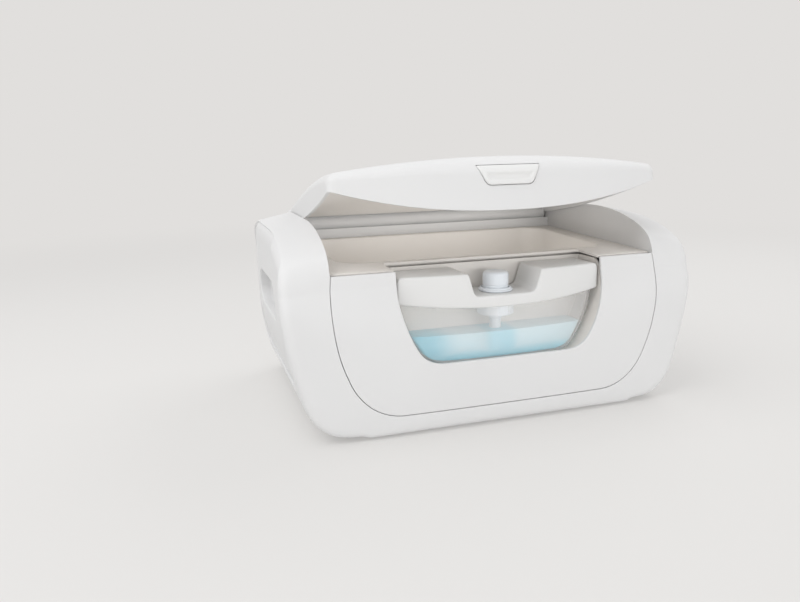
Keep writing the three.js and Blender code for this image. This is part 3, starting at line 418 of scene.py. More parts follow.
def mouldedPlastic(name, color, roughness, grain=0.6, relief=0.012, mottle=0.015):
    # moulded plastic: an even colour with very faint flow marks, and a fine spark-eroded grain
    # that breaks up the gloss; grain and relief in mm, the grain as coarse as it needs to show
    p = plastic
    material, place = newMaterial(name)
    base = linearColor(color)
    dark = tuple(c * (1 - mottle * 2) for c in base[:3]) + (1,)
    flow = addNode(material, "ShaderNodeTexNoise",
                   {"Scale": 1 / (p["flowWidth"] * mm), "Detail": 3.0, "Roughness": 0.5}, {"Vector": place})
    tint = addNode(material, "ShaderNodeMix", {"data_type": "RGBA", 6: dark, 7: base},
                   {0: flow.outputs["Fac"]})
    fine = addNode(material, "ShaderNodeTexNoise",
                   {"Scale": 1 / (grain * mm), "Detail": 2.0, "Roughness": 0.6}, {"Vector": place})
    wear = addNode(material, "ShaderNodeMapRange",
                   {"To Min": roughness - p["wear"], "To Max": roughness + p["wear"]},
                   {"Value": flow.outputs["Fac"]})
    bump = addNode(material, "ShaderNodeBump", {"Strength": p["bump"], "Distance": relief * mm},
                   {"Height": fine.outputs["Fac"]})
    shader = addNode(material, "ShaderNodeBsdfPrincipled", {"IOR": p["ior"]}, {
        "Base Color": tint.outputs[2], "Roughness": wear.outputs[0], "Normal": bump.outputs[0]})
    addNode(material, "ShaderNodeOutputMaterial", None, {"Surface": shader.outputs[0]})
    return material


# scratch in mm, stretch times as long along the drawing direction
metal = {"stretch": 14, "scratch": 2, "duller": 0.1, "brighter": 0.08}


def plainMetal(name, color, roughness):
    # rolled or drawn metal: colour from the metal, fine scratches along the drawing direction
    m = metal
    material, place = newMaterial(name)
    stretch = addNode(material, "ShaderNodeMapping", {"Scale": (1, 1, m["stretch"])}, {"Vector": place})
    lines = addNode(material, "ShaderNodeTexNoise", {"Scale": 1 / (m["scratch"] * mm), "Detail": 3.0},
                    {"Vector": stretch.outputs[0]})
    rough = addNode(material, "ShaderNodeMapRange",
                    {"To Min": roughness - m["brighter"], "To Max": roughness + m["duller"]},
                    {"Value": lines.outputs["Fac"]})
    shader = addNode(material, "ShaderNodeBsdfPrincipled",
                     {"Base Color": linearColor(color), "Metallic": 1.0}, {"Roughness": rough.outputs[0]})
    addNode(material, "ShaderNodeOutputMaterial", None, {"Surface": shader.outputs[0]})
    return material


# left, bottom and tube are where the water's painted refraction colour starts and where it is full, in mm
clear = {
    "ripple": 25, "rippleHeight": 0.1, "bump": 0.1, "edgeBlend": 0.35, "edgeVeil": 0.3,
    "left": (-30, -56), "bottom": (57, 49), "tube": (16, 6), "tubeMost": 0.7,
}


def paintedRefractionTint(material, place, color, paintedRefractionColor):
    # painted refraction: a stronger colour is painted in at the left end, along the bottom and round the
    # tube, where the light is bent most
    axes = addNode(material, "ShaderNodeSeparateXYZ", None, {"Vector": place}).outputs
    side = addNode(material, "ShaderNodeMath", {"operation": "ABSOLUTE"}, {0: axes["X"]}).outputs[0]
    ramps = []
    for source, key, most in ((axes["X"], "left", 1.0), (axes["Z"], "bottom", 1.0),
                              (side, "tube", clear["tubeMost"])):
        ramps.append(addNode(material, "ShaderNodeMapRange", {
            "From Min": clear[key][0] * mm, "From Max": clear[key][1] * mm, "To Max": most,
            "interpolation_type": "SMOOTHSTEP"}, {"Value": source}).outputs[0])
    deep = ramps[0]
    for ramp in ramps[1:]:
        deep = addNode(material, "ShaderNodeMath", {"operation": "MAXIMUM"}, {0: deep, 1: ramp}).outputs[0]
    colors = {6: linearColor(color), 7: linearColor(paintedRefractionColor)}
    return addNode(material, "ShaderNodeMix", {"data_type": "RGBA", **colors}, {0: deep}).outputs[2]


def clearPlastic(name, color, veil, roughness, ior, paintedRefractionColor=None):
    # clear moulded plastic or water: light passes straight on, a faint veil of its own colour
    # stays, denser where the wall is seen edge-on, and the surface has a sharp gloss
    c = clear
    material, place = newMaterial(name)
    ripple = addNode(material, "ShaderNodeTexNoise", {"Scale": 1 / (c["ripple"] * mm), "Detail": 1.0},
                     {"Vector": place})
    bump = addNode(material, "ShaderNodeBump", {"Strength": c["bump"], "Distance": c["rippleHeight"] * mm},
                   {"Height": ripple.outputs["Fac"]})
    edge = addNode(material, "ShaderNodeLayerWeight", {"Blend": c["edgeBlend"]})
    dense = addNode(material, "ShaderNodeMapRange", {"To Min": veil, "To Max": veil + c["edgeVeil"]},
                    {"Value": edge.outputs["Facing"]})
    links = {"Normal": bump.outputs[0], "Alpha": dense.outputs[0]}
    # where a second colour is given, it is painted in as refraction, in place of the plain colour
    if paintedRefractionColor:
        links["Base Color"] = paintedRefractionTint(material, place, color, paintedRefractionColor)
    shader = addNode(material, "ShaderNodeBsdfPrincipled",
                     {"Base Color": linearColor(color), "Roughness": roughness, "IOR": ior}, links)
    addNode(material, "ShaderNodeOutputMaterial", None, {"Surface": shader.outputs[0]})
    return material


shellAbs = mouldedPlastic("white_satin_abs", "#dedede", 0.42)
panelAbs = mouldedPlastic("white_textured_abs", "#dcdcdc", 0.5, grain=0.8, relief=0.03)
coverAbs = mouldedPlastic("white_smooth_abs", "#e0e0df", 0.35)
tubPolypropylene = mouldedPlastic("warm_white_polypropylene", "#ebe7e2", 0.42)
basePolypropylene = mouldedPlastic("grey_textured_polypropylene", "#d5d2cd", 0.55, grain=1.0, relief=0.04)
pumpPolypropylene = mouldedPlastic("bluish_white_polypropylene", "#e6ebf0", 0.28)
footRubber = mouldedPlastic("grey_moulded_rubber", "#8b8a88", 0.75, grain=0.5, relief=0.05)
foamPad = mouldedPlastic("closed_cell_foam", "#5f6163", 0.95, grain=0.7, relief=0.2, mottle=0.05)
blackNylon = mouldedPlastic("black_nylon", "#26272a", 0.5, mottle=0.03)
heaterFilm = mouldedPlastic("amber_polyimide_film", "#b9742c", 0.25, mottle=0.04)
solderMask = mouldedPlastic("green_solder_mask", "#2f6b45", 0.35, mottle=0.03)
buttonAbs = mouldedPlastic("white_polished_abs", "#e3e3e2", 0.35)
redPvc = mouldedPlastic("red_pvc_sleeve", "#a8322c", 0.45)
paleSilicone = mouldedPlastic("pale_silicone_sleeve", "#d8d4c8", 0.6)
platedSteel = plainMetal("zinc_plated_steel", "#b9bbbd", 0.3)
rolledAluminium = plainMetal("rolled_aluminium", "#c4c6c8", 0.35)
brassCan = plainMetal("plated_brass_can", "#b8975a", 0.3)
clearSan = clearPlastic("clear_san", "#fbf9f7", 0.2, 0.06, 1.57)
# the water's own pale tint, with a stronger cyan painted in where the light is bent most
tintedWater = clearPlastic("tinted_water", "#d4f1fa", 0.6, 0.02, 1.333, "#62d8f0")

slotMaterials = {
    "shell_white": shellAbs, "panel_white": panelAbs, "cover_white": coverAbs, "button_white": shellAbs,
    "tub_grey": tubPolypropylene, "base_grey": basePolypropylene, "foot_rubber": footRubber,
    "spring_steel": platedSteel, "spreader_metal": rolledAluminium, "heater_amber": heaterFilm,
    "foam_grey": foamPad, "part_black": blackNylon, "fuse_metal": brassCan, "board_green": solderMask,
    "pump_white": pumpPolypropylene, "lead_red": redPvc, "lead_pale": paleSilicone, "tank_clear": clearSan,
}
slotOfNode = {part["node"]: part["material_slot"] for part in frame["record"]["subparts"]}
for name, node in frame["nodes"].items():
    node.data.materials.clear()
    node.data.materials.append(slotMaterials[slotOfNode[name]])
print("materials ready")


# Housing band with its ears

# "across" and the "around" values count the points over the band and along it; "slant",
# "slantFrom" and "troughEnd" are degrees; the last line is the rear lip and the trough that the
# lid's barrel lies in
shellBand = {
    "centre": (92, 96), "margin": 6, "recessRear": 180, "recessLow": 29, "recessBlend": 24,
    "seamBottom": 15.5, "seamFlat": 78, "seamCorner": (118, 46), "seamTop": 126, "seamGap": 0.4,
    "aroundFront": 84, "aroundEar": 96, "aroundRest": 150, "across": 50, "bendWeight": 9, "seamWeight": 6,
    "slant": 20, "slantFrom": -60, "lowMargin": 21, "lowFrom": 88, "lowReach": 76, "drawnIn": 0.35,
    "rimSteps": 4000, "fanSteps": 140, "backSteps": 61, "backDepth": 14, "backReach": 60,
    "wallEnd": 114, "wallLeast": 2, "wallRows": 9, "deckSink": 5, "edgeRound": 0.7, "seamSteps": 60,
    "lipY": 168.5, "lipTop": 130, "trough": 13.5, "troughEnd": 315, "troughSteps": 24,
}
seamLowShares, seamHighShares = (0.5, 0, 0.85, 0.44), (1.1, 0.28, 1.44, 0.69)


def seamCurve(inset):
    # right half of the U-shaped seam, from the middle of the bottom up to the deck
    s = shellBand
    corner = (s["seamCorner"][0] - inset, s["seamCorner"][1])
    low = s["seamBottom"] + inset
    top = (s["seamTop"] - inset, housing["deckFront"])
    return chain(
        (0, low), (s["seamFlat"], low),
        handleCurve((s["seamFlat"], low), corner, seamLowShares, s["seamSteps"]),
        handleCurve(corner, top, seamHighShares, s["seamSteps"]),
    )


def recessLoop(angles, inset=0.0):
    # outline of the side recess: the side outline inside a margin that grows towards the bottom,
    # cut off before the round corner of the back
    s = shellBand

    def distance(y, z):
        margin = s["margin"] + s["lowMargin"] * hermite((s["lowFrom"] - z) / s["lowReach"])
        sides = softMax(y - s["recessRear"], lookUp(sideField, y, z) + margin, s["recessBlend"])
        return softMax(sides, s["recessLow"] - z, s["recessBlend"]) + inset

    return castFlat(distance, angles, s["centre"])


def angleAbout(y, z):
    # direction from the band's centre in the side view
    cy, cz = shellBand["centre"]
    return np.arctan2(z - cz, y - cy) % (2 * math.pi)


def bandRows():
    # directions about the centre in the side view with the half width at which the band starts:
    # up the seam of the face, over the ear, then down the back and along the bottom
    s, h = shellBand, housing
    seam = seamCurve(0)
    seam = resample(seam[seam[:, 0] >= s["seamFlat"] - hair], s["aroundFront"], s["seamWeight"])
    face = castAlong(spine(seam[:, 0], h["insideFront"], seam[:, 1]), (0, -1, 0))
    frontAngles = angleAbout(face[:, 1], face[:, 2])
    backTop = hinge["z"] + s["trough"] * math.sin(math.radians(s["troughEnd"]))
    back = castAlong(spine(h["earGap"], h["insideRear"], backTop)[None], (0, 1, 0))[0]
    fine = np.linspace(0, 2 * math.pi, s["rimSteps"])
    rim = castFlat(lambda y, z: lookUp(sideField, y, z), fine, s["centre"])
    measure = bendMeasure(rim, s["bendWeight"])

    def between(a, b, count):
        # even steps round the outline, clockwise: front, top, back, bottom
        ma, mb = np.interp([a, b], fine, measure)
        if mb > ma:
            mb -= measure[-1]
        return np.interp(np.linspace(ma, mb, count + 1) % measure[-1], measure, fine)

    backAngle = angleAbout(back[1], back[2])
    earAngles = between(frontAngles[-1], backAngle, s["aroundEar"])
    restAngles = between(backAngle, frontAngles[0], s["aroundRest"])
    drawn = hermite(np.linspace(0, 1, len(restAngles)) / s["drawnIn"])
    restStart = h["earGap"] + (s["seamFlat"] - h["earGap"]) * drawn
    # below the seam's corner the ribs slant down to the sole, so that they part from the seam
    restAngles = np.unwrap(restAngles)
    slant = math.radians(s["slant"])
    last, under = restAngles[-1], math.radians(s["slantFrom"])
    slanted = under + (restAngles - under) * (last + slant - under) / (last - under)
    restOuter = np.where(restAngles < under, slanted, restAngles)
    frontOuter = np.linspace(frontAngles[0] + slant, frontAngles[-1], len(frontAngles))
    return [
        (frontAngles, frontOuter, seam[:, 0]),
        (earAngles, earAngles, np.full(len(earAngles), h["earGap"])),
        (restAngles, restOuter, restStart),
    ]


def ribGrid(angles, outer, start):
    # each rib's rays start on the recess outline and fan out, from the side view's ray round to
    # +x, to end on the hull, while their angle drifts from the rib's first to its outer angle
    s = shellBand
    fan = np.linspace(math.pi / 2, 0, s["fanSteps"])
    drift = np.cos(fan)
    turned = angles[:, None] * (1 - drift) + outer[:, None] * drift
    loop = recessLoop(turned)
    direction = spine(drift, np.cos(turned) * np.sin(fan), np.sin(turned) * np.sin(fan))
    origin = spine(np.asarray(start)[:, None], loop[..., 0], loop[..., 1])
    surface = castTo(hullDistance, origin, direction)
    return np.stack([resample(rib, s["across"] - 1, s["bendWeight"]) for rib in surface])


def backGrid(edge, share):
    # the middle of the back, bottom and lower face, between the edges of the two bands
    s = shellBand
    rise = np.gradient(edge[:, 1:], axis=0)
    outward = np.stack([-rise[:, 1], rise[:, 0]], -1)
    outward /= np.linalg.norm(outward, axis=1)[:, None]
    outward *= np.sign(((edge[:, 1:] - np.array(s["centre"], float)) * outward).sum(1))[:, None]
    outward[0], outward[-1] = (1, 0), (-1, 0)
    start = edge[:, 1:] - s["backDepth"] * outward
    origin = spine(edge[:, :1] * share, start[:, :1], start[:, 1:])
    direction = spine(0 * share, outward[:, :1], outward[:, 1:])
    grid = castTo(hullDistance, origin, direction, s["backReach"])
    grid[:, -1], grid[:, 0] = edge, edge * mirrorX
    return grid


def lipGrid(share):
    # over the rear lip and round the trough of the lid's barrel
    s = shellBand
    start = math.pi + math.asin((hinge["z"] - s["lipTop"]) / s["trough"])
    turn = np.linspace(start, math.radians(s["troughEnd"]), s["troughSteps"])
    line = chain(
        (s["lipY"], deckAt(s["lipY"]) - s["deckSink"]), (s["lipY"], s["lipTop"]),
        np.stack([hinge["y"] + s["trough"] * np.cos(turn), hinge["z"] + s["trough"] * np.sin(turn)], -1),
    )
    return spine(housing["earGap"] * share, line[:, :1], line[:, 1:])


def wallGrid(top):
    # inner face of an ear, from its top edge down past the deck
    s = shellBand
    lower = np.where(top[:, 1] < s["lipY"], deckAt(top[:, 1]) - s["deckSink"], s["wallEnd"])
    lower = np.minimum(lower, top[:, 2] - s["wallLeast"])
    down = np.linspace(0, 1, s["wallRows"])
    return spine(housing["earGap"], top[:, 1:2], top[:, 2:] * (1 - down) + lower[:, None] * down)


def buildOuterShell():
    # the ribs of both ends, the strip over the back and bottom, and the ears' inner faces
    s = shellBand
    ribs = [ribGrid(*row) for row in bandRows()]
    ribs[1][0], ribs[2][0], ribs[2][-1] = ribs[0][-1], ribs[1][-1], ribs[0][0]
    share = np.linspace(-1, 1, s["backSteps"])
    back = np.concatenate([lipGrid(share), backGrid(ribs[2][:, 0], share)])
    inner = wallGrid(ribs[1][:, 0])
    patches = [(grid * side, {}) for grid in ribs for side in (1, mirrorX)]
    patches += [(grid, {}) for grid in (back, inner, inner * mirrorX)]
    shell = makePiece("housing_band", patches, centre=(0, *s["centre"]))
    thicken(shell, housing["wall"])
    softenEdges(shell, s["edgeRound"])
    finishPiece(shell, "housing", shellAbs, ["outer_shell"])


buildOuterShell()


# Front panel with its window

panel = {
    "windowTop": 80.4, "straight": 100, "corner": (67, 60), "flat": 46, "bottom": 50.5,
    "thickness": 2.6, "edgeRound": 0.6, "along": 150, "across": 30, "bendWeight": 14,
}
windowLowShares, windowHighShares = (0.45, 0, 0.77, 0.26), (0.48, 0.25, 0.9, 0.65)


def windowCurve():
    # right half of the window, from the middle of its lower edge up to the deck
    w = panel
    return chain(
        (0, w["bottom"]), (w["flat"], w["bottom"]),
        handleCurve((w["flat"], w["bottom"]), w["corner"], windowLowShares),
        handleCurve(w["corner"], (w["windowTop"], w["straight"]), windowHighShares),
        (w["windowTop"], housing["deckFront"]),
    )


def buildFrontPanel():
    # straight rows from the window's edge to the seam, cast on to the face
    w = panel
    edges = []
    for curve in (windowCurve(), seamCurve(shellBand["seamGap"])):
        right = resample(curve[::-1], w["along"], w["bendWeight"])
        edges.append(np.vstack([right, (right[:-1] * mirrorFlat)[::-1]])[:, None])
    share = np.linspace(0, 1, w["across"])[None, :, None]
    flat = edges[0] * (1 - share) + edges[1] * share
    grid = castAlong(spine(flat[..., 0], housing["insideFront"], flat[..., 1]), (0, -1, 0))
    piece = makePiece("window_panel", [(grid, {})], facing=(0, -1, 0))
    thicken(piece, w["thickness"])
    softenEdges(piece, w["edgeRound"])
    finishPiece(piece, "housing", shellAbs, ["front_panel"])


buildFrontPanel()


# Recessed end faces with their hand grips

grip = {
    "front": 46, "rear": 150, "low": 76, "high": 104, "depth": 12, "rim": 1.6, "floorRound": 4,
    "floorInset": 0.5, "outer": 158.8, "drop": 1.9, "gap": 0.4, "thickness": 1.6, "edgeRound": 0.5,
    "around": 320, "faceRows": 16, "rimRows": 6, "floorRows": 8, "floorInner": (2, 0.2),
}


def gripDistance(inset):
    # long slot with round ends, drawn in by inset
    g = grip
    radius = (g["high"] - g["low"]) / 2

    def distance(y, z):
        along = np.clip(y, g["front"] + radius, g["rear"] - radius)
        return np.hypot(y - along, z - (g["low"] + g["high"]) / 2) - radius + inset

    return distance


def buildSidePanel(name, side):
    # rows from the recess outline to the slot, then rings over its rim and down to its floor
    g = grip
    centre = shellBand["centre"]
    radius = (g["high"] - g["low"]) / 2
    angles = np.linspace(0, 2 * math.pi, g["around"] + 1)[:-1]
    outer = recessLoop(angles, g["gap"])
    slot = castFlat(gripDistance(-g["rim"]), angles, centre)
    share = np.linspace(0, 1, g["faceRows"])[:, None, None]
    face = outer * (1 - share) + slot * share
    reached = castAlong(spine(housing["insideHalf"], face[..., 0], face[..., 1]), (1, 0, 0))
    faceX = np.minimum(g["outer"], reached[..., 0] - g["drop"])
    rows = [spine(faceX, face[..., 0], face[..., 1])]

    def ring(inset, depth):
        # the slot's rim follows the face and its floor is flat
        loop = castFlat(gripDistance(inset), angles, centre)
        down = depth / g["depth"]
        x = faceX[-1] * (1 - down) + g["outer"] * down - depth
        rows.append(spine(x, loop[:, 0], loop[:, 1])[None])

    for turn in np.linspace(0, math.pi / 2, g["rimRows"])[1:]:
        ring(g["rim"] * (math.sin(turn) - 1), g["rim"] * (1 - math.cos(turn)))
    for turn in np.linspace(0, math.pi / 2, g["floorRows"]):
        inset = g["floorRound"] * (1 - math.cos(turn)) + g["floorInset"]
        ring(inset, g["depth"] - g["floorRound"] * (1 - math.sin(turn)))
    for inner in g["floorInner"]:
        ring(radius - inner, g["depth"])
    grid = np.concatenate(rows) * np.array([side, 1, 1])
    piece = makePiece(f"end_panel_{name}", [(grid, closedRings)], facing=(side, 0, 0))
    thicken(piece, g["thickness"])
    softenEdges(piece, g["edgeRound"])
    finishPiece(piece, "housing", panelAbs, [f"side_panel_{name}"])


buildSidePanel("left", -1)
buildSidePanel("right", 1)
print("housing ready")


# Wipe tub: the ledge between the ears, and the tub itself

tub = {
    "half": 111, "front": 46, "rear": 164, "corner": 18, "floor": 28, "floorRound": 8, "rim": 1.6,
    "ledgeHalf": 126, "ledgeFront": 10.4, "ledgeRear": 168.2, "ledgeStep": 5,
    "pocketHalf": 80.6, "pocketRear": 38.3, "wall": 1.8, "edgeRound": 0.5,
    "ledgeRows": 5, "rimRows": 5, "wallRows": 9, "floorRows": 8,
    "acrossSteps": 30, "cornerSteps": 12, "deepSteps": 22,
}
ledgeShares = (0, 0.13, 0.21, 0.29, 1.0)  # of the rim's front half, at which the ledge turns a corner


def roundedLoop(grow):
    # the tub's plan, a rectangle with round corners, let out by grow all round
    t = tub
    half, front, rear, r = t["half"] + grow, t["front"] - grow, t["rear"] + grow, t["corner"] + grow
    across, deep = t["acrossSteps"], t["deepSteps"]
    turn = np.linspace(0, math.pi / 2, t["cornerSteps"] + 1)
    return closeLoop(chain(
        spine(np.linspace(0, half - r, across), rear, 0)[:, :2],
        np.stack([half - r + r * np.sin(turn), rear - r + r * np.cos(turn)], -1),
        spine(half, np.linspace(rear - r, front + r, deep), 0)[:, :2],
        np.stack([half - r + r * np.cos(turn), front + r - r * np.sin(turn)], -1),
        spine(np.linspace(half - r, 0, across), front, 0)[:, :2],
    ))


def ledgeLoop(inner):
    # the ledge's outline, one point for each of the rim's, round the pocket of the water tank
    t = tub
    half = len(inner) // 2 + 1
    x, y = inner[:half, 0], inner[:half, 1]
    frontSide = y < t["front"] + t["corner"]
    length = np.cumsum(np.r_[0, np.linalg.norm(np.diff(inner[:half], axis=0), axis=1)])
    begin = length[frontSide][0]
    along = (length - begin) / (length[-1] - begin)
    corners = chain(
        (t["ledgeHalf"], t["front"] + t["corner"]), (t["ledgeHalf"], t["ledgeFront"]),
        (t["pocketHalf"], t["ledgeFront"]), (t["pocketHalf"], t["pocketRear"]), (0, t["pocketRear"]),
    )
    straight = t["half"] - t["corner"]
    rearX = np.minimum(x * t["ledgeHalf"] / straight, t["ledgeHalf"])
    rearY = np.where(x < straight, t["ledgeRear"], np.minimum(y + t["ledgeStep"], t["ledgeRear"]))
    outerX = np.where(frontSide, np.interp(along, ledgeShares, corners[:, 0]), rearX)
    outerY = np.where(frontSide, np.interp(along, ledgeShares, corners[:, 1]), rearY)
    return closeLoop(np.stack([outerX, outerY], -1))


def buildTub():
    # rings across the ledge, over the rim, down the wall and round to the floor
    t = tub
    inner = roundedLoop(t["rim"])
    outer = ledgeLoop(inner)
    rows = []
    for share in np.linspace(0, 1, t["ledgeRows"]):
        flat = outer * (1 - share) + inner * share
        rows.append(spine(flat[:, 0], flat[:, 1], deckAt(flat[:, 1])))
    for turn in np.linspace(0, math.pi / 2, t["rimRows"])[1:]:
        loop = roundedLoop(t["rim"] * (1 - math.sin(turn)))
        rows.append(spine(loop[:, 0], loop[:, 1], deckAt(loop[:, 1]) - t["rim"] * (1 - math.cos(turn))))
    wallTop, low = rows[-1][:, 2], t["floor"] + t["floorRound"]
    for share in np.linspace(0, 1, t["wallRows"])[1:]:
        rows.append(spine(loop[:, 0], loop[:, 1], wallTop * (1 - share) + low * share))
    for turn in np.linspace(0, math.pi / 2, t["floorRows"])[1:]:
        loop = roundedLoop(-t["floorRound"] * (1 - math.cos(turn)))
        rows.append(spine(loop[:, 0], loop[:, 1], low - t["floorRound"] * math.sin(turn)))
    piece = makePiece("tub_and_ledge", [(np.stack(rows), closedRings)], facing=(0, 0, 1))
    thicken(piece, t["wall"])
    softenEdges(piece, t["edgeRound"])
    finishPiece(piece, "housing", tubPolypropylene, ["wipe_tub"])


buildTub()


# Water tank with its water

tank = {
    "half": 77.6, "front": 4, "rear": 33, "top": 92.2, "bottom": 46.5, "corner": (64, 57), "flat": 44,
    "bow": 7.5, "round": 5, "leastRound": 0.8, "wall": 1.8, "edgeRound": 1.2, "inside": (0, 18, 80),
    "waterTop": 67.5, "waterGap": 2.2, "waterRound": 1.0, "waterInside": (0, 18, 57), "edgeAngle": 30,
    "cornerSteps": 7, "acrossSteps": 20, "deepSteps": 8, "lowSteps": 16, "highSteps": 22,
}
tankLowShares, tankHighShares = (0.5, 0, 0.8, 0.3), (0.4, 0.22, 0.9, 0.6)


def bowedLoop(half, inset):
    # plan of the tank at a half width: bowed front, straight sides and back, round corners
    t = tank
    rear = t["rear"] - inset
    r = max(t["round"] - inset, t["leastRound"])

    def bowAt(x):
        return t["front"] + inset + t["bow"] * (x / t["half"]) ** 2

    turn = np.linspace(0, math.pi / 2, t["cornerSteps"])
    across = np.linspace(0, half - r, t["acrossSteps"])
    begin = bowAt(half - r) + r
    return closeLoop(chain(
        np.stack([across, bowAt(across)], -1),
        np.stack([half - r + r * np.sin(turn), begin - r * np.cos(turn)], -1),
        spine(half, np.linspace(begin, rear - r, t["deepSteps"]), 0)[:, :2],
        np.stack([half - r + r * np.cos(turn), rear - r + r * np.sin(turn)], -1),
        spine(across[::-1], rear, 0)[:, :2],
    ))


def tankRings(inset, top):
    # level rings up the side of the tank, the first of them round its flat bottom
    t = tank
    side = chain(
        handleCurve((t["flat"], t["bottom"]), t["corner"], tankLowShares, t["lowSteps"]),
        handleCurve(t["corner"], (t["half"], t["top"]), tankHighShares, t["highSteps"]),
    )
    away = np.gradient(side, axis=0)
    away = np.stack([away[:, 1], -away[:, 0]], -1) / np.linalg.norm(away, axis=1)[:, None]
    side = side - away * inset
    end = np.array([np.interp(top, side[:, 1], side[:, 0]), top])
    side = np.vstack([side[side[:, 1] < top - hair], end])
    return np.stack([np.insert(bowedLoop(half, inset), 2, height, axis=1) for half, height in side])


def buildTank():
    # walls from the open top down round the bottom, and the water inside them with its surface
    t = tank
    walls = makePiece("clear_tank", [(tankRings(0, t["top"])[::-1], closedRings)], centre=t["inside"])
    thicken(walls, t["wall"])
    softenEdges(walls, t["edgeRound"], t["edgeAngle"])
    finishPiece(walls, "housing", clearSan, ["water_tank"])
    rings = tankRings(t["waterGap"], t["waterTop"])
    surface = rings[-1:].repeat(2, 0)
    water = makePiece("tank_water", [(rings[::-1], closedRings), (surface, closedRings)],
                      centre=t["waterInside"])
    softenEdges(water, t["waterRound"], t["edgeAngle"])
    finishPiece(water, "housing", tintedWater)
    walls.visible_shadow = water.visible_shadow = False  # clear walls let the light into the pocket


buildTank()


# Bar on top of the tank, with a notch for the pump

bar = {
    "half": 79.4, "front": 0.5, "rear": 36, "top": 112, "middle": 86.5, "ends": 92.8, "bow": 7.5,
    "corner": 5, "round": 1.6, "leastHigh": 2, "roundShare": 2.2, "inside": (0, 18, 98),
    "notchTop": 28.5, "notchLow": 23.5, "notchFloor": 95.5, "notchRound": 4, "lip": 1.6,
    "pumpY": 18.8, "hole": 11.4, "holeLow": 70, "holeHigh": 125, "along": 110, "bendWeight": 8,
    "roundSteps": 6, "sharpAngle": 40,
}


def barTopLine():
    # upper contour of the bar in the front view, right half, from the middle outwards
    b = bar
    low, floor, r, top, lip = b["notchLow"], b["notchFloor"], b["notchRound"], b["top"], b["lip"]
    slope = (b["notchTop"] - low) / (top - floor)
    lipStart = (b["notchTop"] - slope * lip, top - lip)
    return chain(
        (0, floor), softCorner((low - r, floor), (low, floor), (low + slope * r, floor + r)),
        softCorner(lipStart, (b["notchTop"], top), (b["notchTop"] + lip, top)),
        softCorner((b["half"] - b["corner"], top), (b["half"], top), (b["half"], top - b["corner"])),
    )


def buildBar():
    # a round-cornered section carried across, whose height and depth follow the contours
    b = bar
    line = resample(barTopLine(), b["along"], b["bendWeight"])
    line[:, 0] = np.maximum.accumulate(line[:, 0])
    line = np.vstack([line[::-1] * mirrorFlat, line[1:]])
    x, top = line[:, :1], line[:, 1:]
    end = edgeFall(b["half"] - np.abs(x), b["round"])
    share = (x / b["half"]) ** 2
    front = b["front"] + b["bow"] * share + end
    rear = b["rear"] - edgeFall(b["half"] - np.abs(x), b["corner"])
    low = b["middle"] + (b["ends"] - b["middle"]) * share + end
    high = np.maximum(top - end, low + b["leastHigh"])
    r = np.minimum(b["round"], (high - low) / b["roundShare"])
    turn = np.linspace(0, math.pi / 2, b["roundSteps"])
    corners = []
    for quarter, y, z in ((2, front + r, low + r), (3, rear - r, low + r),
                          (0, rear - r, high - r), (1, front + r, high - r)):
        angle = quarter * math.pi / 2 + turn
        corners.append(spine(x, y + r * np.cos(angle), z + r * np.sin(angle)))
    section = np.concatenate(corners, 1)
    middle = section.mean(1, keepdims=True) + np.zeros(section.shape)
    grid = np.concatenate([middle[:1], section, middle[-1:]])
    piece = makePiece("tank_bar", [(grid, openRings)], centre=b["inside"])
    hole, low, high = b["hole"], b["holeLow"], b["holeHigh"]
    profile = np.array([(0, low), (hole, low), (hole, high), (0, high)], float)
    cutter = makePiece("pump_bore", [(turnedGrid(profile, b["pumpY"]), openRings)],
                       centre=(0, b["pumpY"], b["inside"][2]))
    cutHole(piece, cutter)
    finishPiece(piece, "housing", coverAbs, ["tank_cover"], b["sharpAngle"], [cutter])


buildBar()


# Mist pump

pump = {
    "head": 9.5, "headTop": 110, "headLow": 90.5, "dome": 3, "groove": (3.4, 2.2), "grooveDepth": 0.35,
    "grooveSlope": 0.3, "bore": 10.1, "collar": 11.1, "ring": 1.2, "ringFoot": 1.6, "flange": 12.6,
    "flangeTop": 97.2, "flangeLow": 95.8, "skirt": 13.6, "skirtTop": 86.2, "skirtRound": 1,
    "collarLow": 78.4, "boreFloor": 1.5, "neck": 5.4, "neckRound": 0.8, "bodyLow": 74.5,
    "tube": 4.3, "tubeWall": 1.2, "tubeGap": 0.3, "tubeSeat": 2.5, "tubeLow": 50, "sharpAngle": 28,
    "domeLead": 1, "domeSteps": 10, "skirtSteps": 5,
}
# inside is a height that lies within the piece, edge the width and angle of its rounded edges
turnedPieces = {
    "spray_head": {"body": "pump", "node": "pump_head", "inside": 100, "around": 64, "edge": (0.3, 50)},
    "pump_collar": {"body": "housing", "node": "pump_body", "inside": 90, "around": 64, "edge": (0.35, 40)},
    "intake_tube": {"body": "housing", "node": "dip_tube", "inside": 63, "around": 40, "edge": (0.25, 40)},
}


def turnPiece(name, profile, body, node, inside, around, edge):
    # a turned piece of the pump about its upright axis
    y = bar["pumpY"]
    piece = makePiece(name, [(turnedGrid(profile, y, around), openRings)], centre=(0, y, inside))
    softenEdges(piece, *edge, segments=2)
    finishPiece(piece, body, pumpPolypropylene, [node], pump["sharpAngle"])


